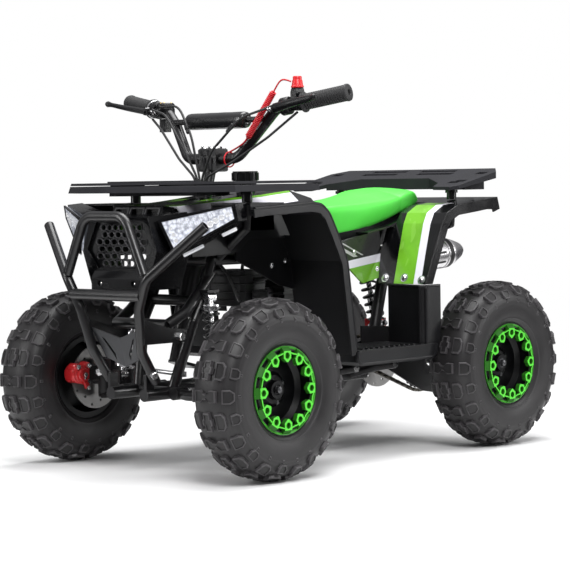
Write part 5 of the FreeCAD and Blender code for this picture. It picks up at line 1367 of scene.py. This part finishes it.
def leverBlade(pivot, tip, bow, tipR, heavy):
    # a cast lever: flat oval sections from the pivot to the ball at its tip
    steps = 14
    along = (tip - pivot).normalized()
    out = Vector((1, 0, 0)) - along * along.x
    out.normalize()
    up = along.cross(out)
    loops = []
    for k in range(steps + 1):
        t = k / steps
        centre = pivot.lerp(tip, t) + out * bow * math.sin(math.pi * min(1.0, t * 1.05)) ** 1.2
        wide = 6.4 * (1 - t) ** 1.4 + 4.8
        thick = (6.8 - 2.4 * t) * heavy
        if t > 0.9:
            wide = thick = 4.4 + (tipR - 4.4) * (t - 0.9) / 0.1
        loops.append([centre + out * wide * math.cos(a) + up * thick * math.sin(a)
                      for a in (2 * math.pi * s / 12 for s in range(12))])
    ball = turned("ball", [(0, -tipR), (tipR * 0.7, -tipR * 0.7), (tipR, 0), (tipR * 0.7, tipR * 0.7), (0, tipR)], 20, "Z")
    return joined("lever", [blockMesh("blade", loops), placed(ball, facing(along, mm(*tip)))])


def plateLoop(at, x, y0, y1, z0, z1):
    return [(at.x + x, at.y + y, at.z + z) for y, z in ((y0, z0), (y1, z0), (y1, z1), (y0, z1))]


def leverSet(perchReach, reach, heavy):
    # clamp round the bar, pivot arm, blade and the cable's barrel adjuster
    at, far = barPoint(perchReach), barPoint(perchReach - 20)
    clamp = barrel("clamp", at, far, [(11.3, 0.0), (16.8, 0.0), (18.0, 0.08), (18.0, 0.92), (16.8, 1.0), (11.3, 1.0)], 32)
    pivot = at + barAlong * 8 + Vector((30, 0, -4))
    arm = blockMesh("arm", [plateLoop(pivot, *sizes) for sizes in (
        (-20, -8, 8, -6, 6.5), (-2, -9, 9, -7, 7), (7.5, -6, 6, -6, 6))])
    blade = leverBlade(pivot, pivot + barAlong * reach + Vector((30, 0, 0)), 5, 6.5, heavy)
    adjuster = barrel("adjuster", pivot + Vector((-3, -8, 0)), pivot + Vector((-1, -24, -1)), [
        (0, 0), (5.2, 0), (5.2, 0.25), (4.0, 0.3), (4.0, 0.5), (6.0, 0.55), (6.0, 0.8), (3.4, 0.85), (2.8, 1), (0, 1)])
    screw = barrel("screw", pivot + Vector((0, 0, 7)), pivot + Vector((0, 0, 9)),
                   [(0, 1), (4.6, 0.95), (5.0, 0.7), (5.0, 0), (0, 0)], 16)
    return joined("leverSet", [clamp, arm, blade]), joined("leverMetal", [adjuster, screw])


levers, leverMetal = [], []
for side, perch, reach, heavy in ((1, 150.0, 112.0, 1.5), (-1, 126.0, 128.0, 1.0)):
    black, bright = leverSet(perch, reach, heavy)
    if side < 0:
        band = barrel("band", barPoint(perch - 20), barPoint(perch - 28),
                      [(11.3, 0), (18.6, 0), (19.4, 0.15), (19.4, 0.85), (18.6, 1), (11.3, 1)], 32)
        bright = joined("leverMetal", [bright, band])
    mirror = Matrix.Scale(side, 4, (0, 1, 0))
    levers.append(placed(black, mirror))
    leverMetal.append(placed(bright, mirror))
addMesh("leverBlades", joined("leverBlades", levers), "steering", satin, ["brake_levers"], 38)
addMesh("leverFittings", joined("leverFittings", leverMetal), "steering", zinc, sharp=30)

stopAt, throttleAt = barPoint(114, 1), barPoint(149, -1)


def controlParts():
    # stop switch housing on the left; drum, cover screws and lever of the throttle and a rocker switch on the right
    sx, sy, sz = stopAt
    half = [(12.6, 7.8), (12.6, -7.8), (-12.6, -7.8), (-12.6, 7.8)]
    housing = blockMesh("stopHousing", [[(sx + x * g, sy + y * g, sz + z) for x, y in half]
                                        for z, g in ((-13.8, 0.86), (-11, 1.0), (22, 1.0), (29, 0.9), (31, 0.8))])
    drum = barrel("drum", throttleAt + Vector((0, 0, -13)), throttleAt + Vector((0, 0, 19)), [
        (0, 0), (17, 0), (19.4, 0.07), (19.8, 0.14), (19.8, 0.62), (18.6, 0.66), (18.6, 0.70), (19.8, 0.74), (19.6, 0.9),
        (16.5, 1), (0, 1)], 36)
    tx, ty, tz = throttleAt
    trigger = blockMesh("trigger", [plateLoop(throttleAt, *sizes) for sizes in (
        (12, -9, 7, -9.8, -4.4), (26, -6, 7, -9.6, -4.6), (33.6, 1, 6, -9, -5))])
    rocker = blockMesh("rocker", [[(tx + x, ty + y, tz + z) for x, y in (
        (6.6, 5.6), (6.6, -11.6), (-10.6, -11.6), (-10.6, 5.6))] for z in (-41.6, -38, -14)])
    key = blockMesh("key", [[(tx + x * g, ty + y, tz + z) for x, y in ((4, 6), (4, 5.4), (-4, 5.4), (-4, 6))]
                            for z, g in ((-34, 0.9), (-22, 1.0))])
    screws = [(mm(tx + 13 * math.cos(a), ty + 13 * math.sin(a), tz + 18.6), Vector((0, 0, 1)), 0.5) for a in (0.6, 2.7, 4.8)]
    return (joined("controls", [housing, drum, trigger, rocker, key]),
            onSpots("controlScrews", boltMeshes["dome"], screws, zinc))


controls, controlScrews = controlParts()
addMesh("barControlBodies", controls, "steering", satin, ["bar_controls"], 32)
addMesh("barControlScrews", controlScrews, "steering", brass, sharp=32)
capLow = Vector((stopAt.x, stopAt.y, 757))
stopCapMesh = barrel("stopCap", capLow, capLow + Vector((0, 0, 23)), [
    (0, 0), (12.4, 0), (13.0, 0.05), (12.6, 0.16), (11.4, 0.2), (10.2, 0.62), (9.0, 0.70), (9.0, 0.78), (9.0, 0.92),
    (7.8, 1.0), (0, 1.0)], 36)
addMesh("stopCap", stopCapMesh, "steering", redPlastic, ["kill_switch_cap"], 35)
head = {"x": 219, "half": (16, 24)}


def steeringHead():
    # bar clamp: cap with rounded edges, the split line's pads and the bracket in front of it
    x, (hx, hy) = head["x"], head["half"]
    corners = (1, 1), (1, -1), (-1, -1), (-1, 1)
    cap, foot = [
        blockMesh("clampHalf", [[(x + sx * (hx + g), sy * (hy + g), z) for sx, sy in corners] for z, g in levels])
        for levels in (((627, 0.2), (627, 1.4), (638, 1.4), (641.5, -2)), ((593.5, -3), (596, 1.4), (610, 1.4), (610, 0.2)))]
    ears = [blockMesh("ear", [[(x + hx + out, sy * 10 + y, z) for out, y in ((0.5, -5), (0.5, 5), (4.5, 4), (4.5, -4))]
                              for z in (598, 622)]) for sy in (1, -1)]
    spots = [(mm(x + sx * 10, sy * 17, 641), Vector((0, 0, 1)), 0.9) for sx in (1, -1) for sy in (1, -1)]
    return joined("steeringHead", [cap, foot] + ears), onSpots("headBolts", boltMeshes["hex"], spots, zinc)


headBody, headBolts = steeringHead()
addMesh("steeringHead", headBody, "steering", castBlack, sharp=30)
addMesh("headBolts", headBolts, "steering", zinc, sharp=32)
adjusters = [barrel("adjuster", a, b, [(0, 0), (3.2, 0), (3.2, 0.2), (4.8, 0.24), (4.8, 0.6), (3.8, 0.64), (3.8, 0.9),
                                       (2.8, 1.0), (0, 1.0)], 16)
             for a, b in (((256, -40, 694), (262, -27, 672)), ((250.5, 96, 691), (257, 78, 672)))]
addMesh("cableAdjusters", joined("cableAdjusters", adjusters), "steering", satin, sharp=30)
print("controls made")

tether = {
    "route": [(194.2, 197.7, 769), (202, 186, 775), (204, 174, 770), (204, 160, 752), (213, 141.3, 718.7), (222, 122.7, 685.3),
              (231, 104, 652), (227, 82, 643), (222, 60, 636), (219, 47.4, 632.9)],
    "wire": 1.75, "coilR": 5.2, "turns": 31, "coilFrom": 0.22, "coilTo": 0.70, "samples": 1500,
    "ringR": 15.0, "ringAt": (219, 47, 617.9),
}


def tetherLine():
    # the route, wound into a helix between its two straight leads
    base = resampled(routeLine(tether["route"]), tether["samples"])
    found = []
    normal = None
    for k, point in enumerate(base):
        ahead = (base[min(k + 1, tether["samples"])] - base[max(k - 1, 0)]).normalized()
        normal = ahead.orthogonal().normalized() if normal is None else (normal - ahead * normal.dot(ahead)).normalized()
        share = (k / tether["samples"] - tether["coilFrom"]) / (tether["coilTo"] - tether["coilFrom"])
        inside = min(1.0, max(0.0, share))
        swell = min(1.0, max(0.0, min(share, 1 - share) * tether["turns"]))
        angle = 2 * math.pi * tether["turns"] * inside
        reach = tether["coilR"] / 1000 * swell
        found.append(point + (normal * math.cos(angle) + ahead.cross(normal) * math.sin(angle)) * reach)
    return found


tetherPath = tetherLine()
tetherMesh = tubeMesh(tetherPath, tether["wire"] / 1000, 8)
tetherPiece = addMesh("tetherCord", tetherMesh, "steering", redCord, ["tether"])
loopMesh = turned("tetherLoop", [(tether["ringR"] + 1.5 * math.cos(a), 1.5 * math.sin(a)) for a in
                                 (2 * math.pi * k / 10 for k in range(10))], 48, "Y", True)
placed(loopMesh, Matrix.Translation(mm(*tether["ringAt"])))
loopPiece = addMesh("tetherLoop", loopMesh, "steering", redCord)

drive = {"front": (-118, 216), "rear": (-357.5, 176), "frontR": 19.0, "rearR": 70.5, "y": 55.0, "links": 76}


def beltPoints(count):
    # even points round the chain's pitch line
    (fx, fz), (rx, rz) = drive["front"], drive["rear"]
    gap = math.hypot(rx - fx, rz - fz)
    heading = math.atan2(rz - fz, rx - fx)
    lean = math.acos((drive["frontR"] - drive["rearR"]) / gap)
    steps = 40
    line = []
    for x, z, radius, start, sweep in ((rx, rz, drive["rearR"], heading - lean, 2 * lean),
                                       (fx, fz, drive["frontR"], heading + lean, 2 * math.pi - 2 * lean)):
        for a in [start + sweep * k / steps for k in range(steps + 1)]:
            line.append((x + radius * math.cos(a), z + radius * math.sin(a)))
    line.append(line[0])
    points = resampled([mm(x, drive["y"], z) for x, z in line], count)
    return points[:-1]


def chainMesh():
    points = beltPoints(drive["links"])
    plates, rollers = [], []
    for k, point in enumerate(points):
        after = points[(k + 1) % len(points)]
        along = after - point
        turn = Matrix.Rotation(math.atan2(-along.z, along.x), 4, "Y")
        outline = arcPoints((0, 0), 3.6, 90, 270, 6) + arcPoints((along.length * 1000, 0), 3.6, -90, 90, 6)
        offset = 2.7 if k % 2 else 1.7
        plate = bothSides("linkPair", roundedBlock("link", outline, (offset - 0.45, offset + 0.45), 0.15))
        plates.append(placed(plate, Matrix.Translation(point) @ turn))
        roller = turned("roller", [(0, -3.4), (2.1, -3.4), (2.1, 3.4), (0, 3.4)], 10, "Y")
        rollers.append(placed(roller, Matrix.Translation(point)))
    return joined("chainLinks", plates + rollers)


addMesh("chainLinks", chainMesh(), "chassis", chainSteel, ["chain"], 35)
print("chain made")

view = {"azimuth": 0.7535708, "distance": 4.716867, "height": 0.580065, "yaw": 0.0016617, "pitch": 0.0480345,
        "roll": -0.0159004, "focal": 2238.825 / 570 * 36}


def addCamera():
    azimuth, pitch, yaw = view["azimuth"], view["pitch"], view["yaw"]
    at = Vector((view["distance"] * math.cos(azimuth), view["distance"] * math.sin(azimuth), view["height"]))
    turn = azimuth + yaw
    ahead = -Vector((math.cos(turn) * math.cos(pitch), math.sin(turn) * math.cos(pitch), math.sin(pitch)))
    right = ahead.cross(Vector((0, 0, 1))).normalized()
    up = right.cross(ahead)
    c, s = math.cos(view["roll"]), math.sin(view["roll"])
    right, up = right * c + up * s, up * c - right * s
    data = bpy.data.cameras.new("viewCamera")
    data.lens = view["focal"]
    data.sensor_width = 36
    data.clip_end = 50
    camera = bpy.data.objects.new("viewCamera", data)
    camera.matrix_world = Matrix.Translation(at) @ Matrix((right, up, -ahead)).transposed().to_4x4()
    show(camera)
    bpy.context.scene.camera = camera


studio = {"horizon": (0.09, 0.09, 0.095), "zenith": (0.62, 0.62, 0.63), "floorHalf": 9.0, "floorZ": -0.0004,
          "fadeFrom": 0.75, "fadeTo": 1.9}


def addFloor():
    # white paper that fades out away from the bike
    mesh = bpy.data.meshes.new("studioFloor")
    size = studio["floorHalf"]
    mesh.from_pydata([(x, y, studio["floorZ"]) for x, y in ((-size, -size), (size, -size), (size, size), (-size, size))],
                     [], [(0, 1, 2, 3)])
    floor = bpy.data.objects.new("studioFloor", mesh)
    show(floor)
    material, tree, shader, coords = newFinish("paperFloor")
    shader.inputs["Base Color"].default_value = (0.90, 0.90, 0.90, 1)
    shader.inputs["Roughness"].default_value = 0.75
    shader.inputs["Specular IOR Level"].default_value = 0.2
    away = tree.nodes.new("ShaderNodeVectorMath")
    away.operation = "LENGTH"
    tree.links.new(coords, away.inputs[0])
    fade = tree.nodes.new("ShaderNodeMapRange")
    fade.interpolation_type = "SMOOTHERSTEP"
    fade.inputs["From Min"].default_value = studio["fadeFrom"]
    fade.inputs["From Max"].default_value = studio["fadeTo"]
    tree.links.new(away.outputs["Value"], fade.inputs["Value"])
    clear = tree.nodes.new("ShaderNodeBsdfTransparent")
    mix = tree.nodes.new("ShaderNodeMixShader")
    output = [n for n in tree.nodes if n.type == "OUTPUT_MATERIAL"][0]
    tree.links.new(fade.outputs["Result"], mix.inputs["Fac"])
    tree.links.new(shader.outputs["BSDF"], mix.inputs[1])
    tree.links.new(clear.outputs["BSDF"], mix.inputs[2])
    tree.links.new(mix.outputs["Shader"], output.inputs["Surface"])
    mesh.materials.append(material)


def addWorld():
    # dim near the horizon and bright overhead for the object; plain white for what the camera sees
    world = bpy.data.worlds.new("studio")
    bpy.context.scene.world = world
    world.use_nodes = True
    tree = world.node_tree
    tree.nodes.clear()
    output = tree.nodes.new("ShaderNodeOutputWorld")
    soft = tree.nodes.new("ShaderNodeBackground")
    soft.inputs["Strength"].default_value = 1.0
    coords = tree.nodes.new("ShaderNodeTexCoord")
    split = tree.nodes.new("ShaderNodeSeparateXYZ")
    tree.links.new(coords.outputs["Generated"], split.inputs["Vector"])
    tree.links.new(twoTone(tree, split.outputs["Z"], studio["horizon"], studio["zenith"], 0.0, 0.9), soft.inputs["Color"])
    white = tree.nodes.new("ShaderNodeBackground")
    white.inputs["Color"].default_value = (1, 1, 1, 1)
    white.inputs["Strength"].default_value = 1.0
    path = tree.nodes.new("ShaderNodeLightPath")
    mix = tree.nodes.new("ShaderNodeMixShader")
    tree.links.new(path.outputs["Is Camera Ray"], mix.inputs["Fac"])
    tree.links.new(soft.outputs["Background"], mix.inputs[1])
    tree.links.new(white.outputs["Background"], mix.inputs[2])
    tree.links.new(mix.outputs["Shader"], output.inputs["Surface"])


lamps = {
    "keySoftbox": {"at": (1.5, 1.9, 2.3), "size": (1.1, 1.1), "watts": 58, "aim": (0, 0, 0.3)},
    "topSoftbox": {"at": (-0.2, 0.0, 2.6), "size": (1.8, 1.8), "watts": 70, "aim": (0, 0, 0.3)},
    "rimStrip": {"at": (-2.0, 2.2, 1.3), "size": (0.4, 2.0), "watts": 36, "aim": (-0.2, 0, 0.35)},
    "frontStrip": {"at": (2.4, -1.4, 1.2), "size": (0.4, 1.8), "watts": 26, "aim": (0.2, 0, 0.35)},
}


def addLamps():
    # softboxes that face their aims
    for name, facts in lamps.items():
        data = bpy.data.lights.new(name, "AREA")
        data.shape = "RECTANGLE"
        data.size, data.size_y = facts["size"]
        data.energy = facts["watts"]
        softbox = bpy.data.objects.new(name, data)
        softbox.matrix_world = facing(Vector(facts["at"]) - Vector(facts["aim"]), facts["at"])
        show(softbox)


addCamera()
addFloor()
addWorld()
addLamps()
bpy.context.scene.view_settings.view_transform = "Standard"
print("stage, lamps and camera set")
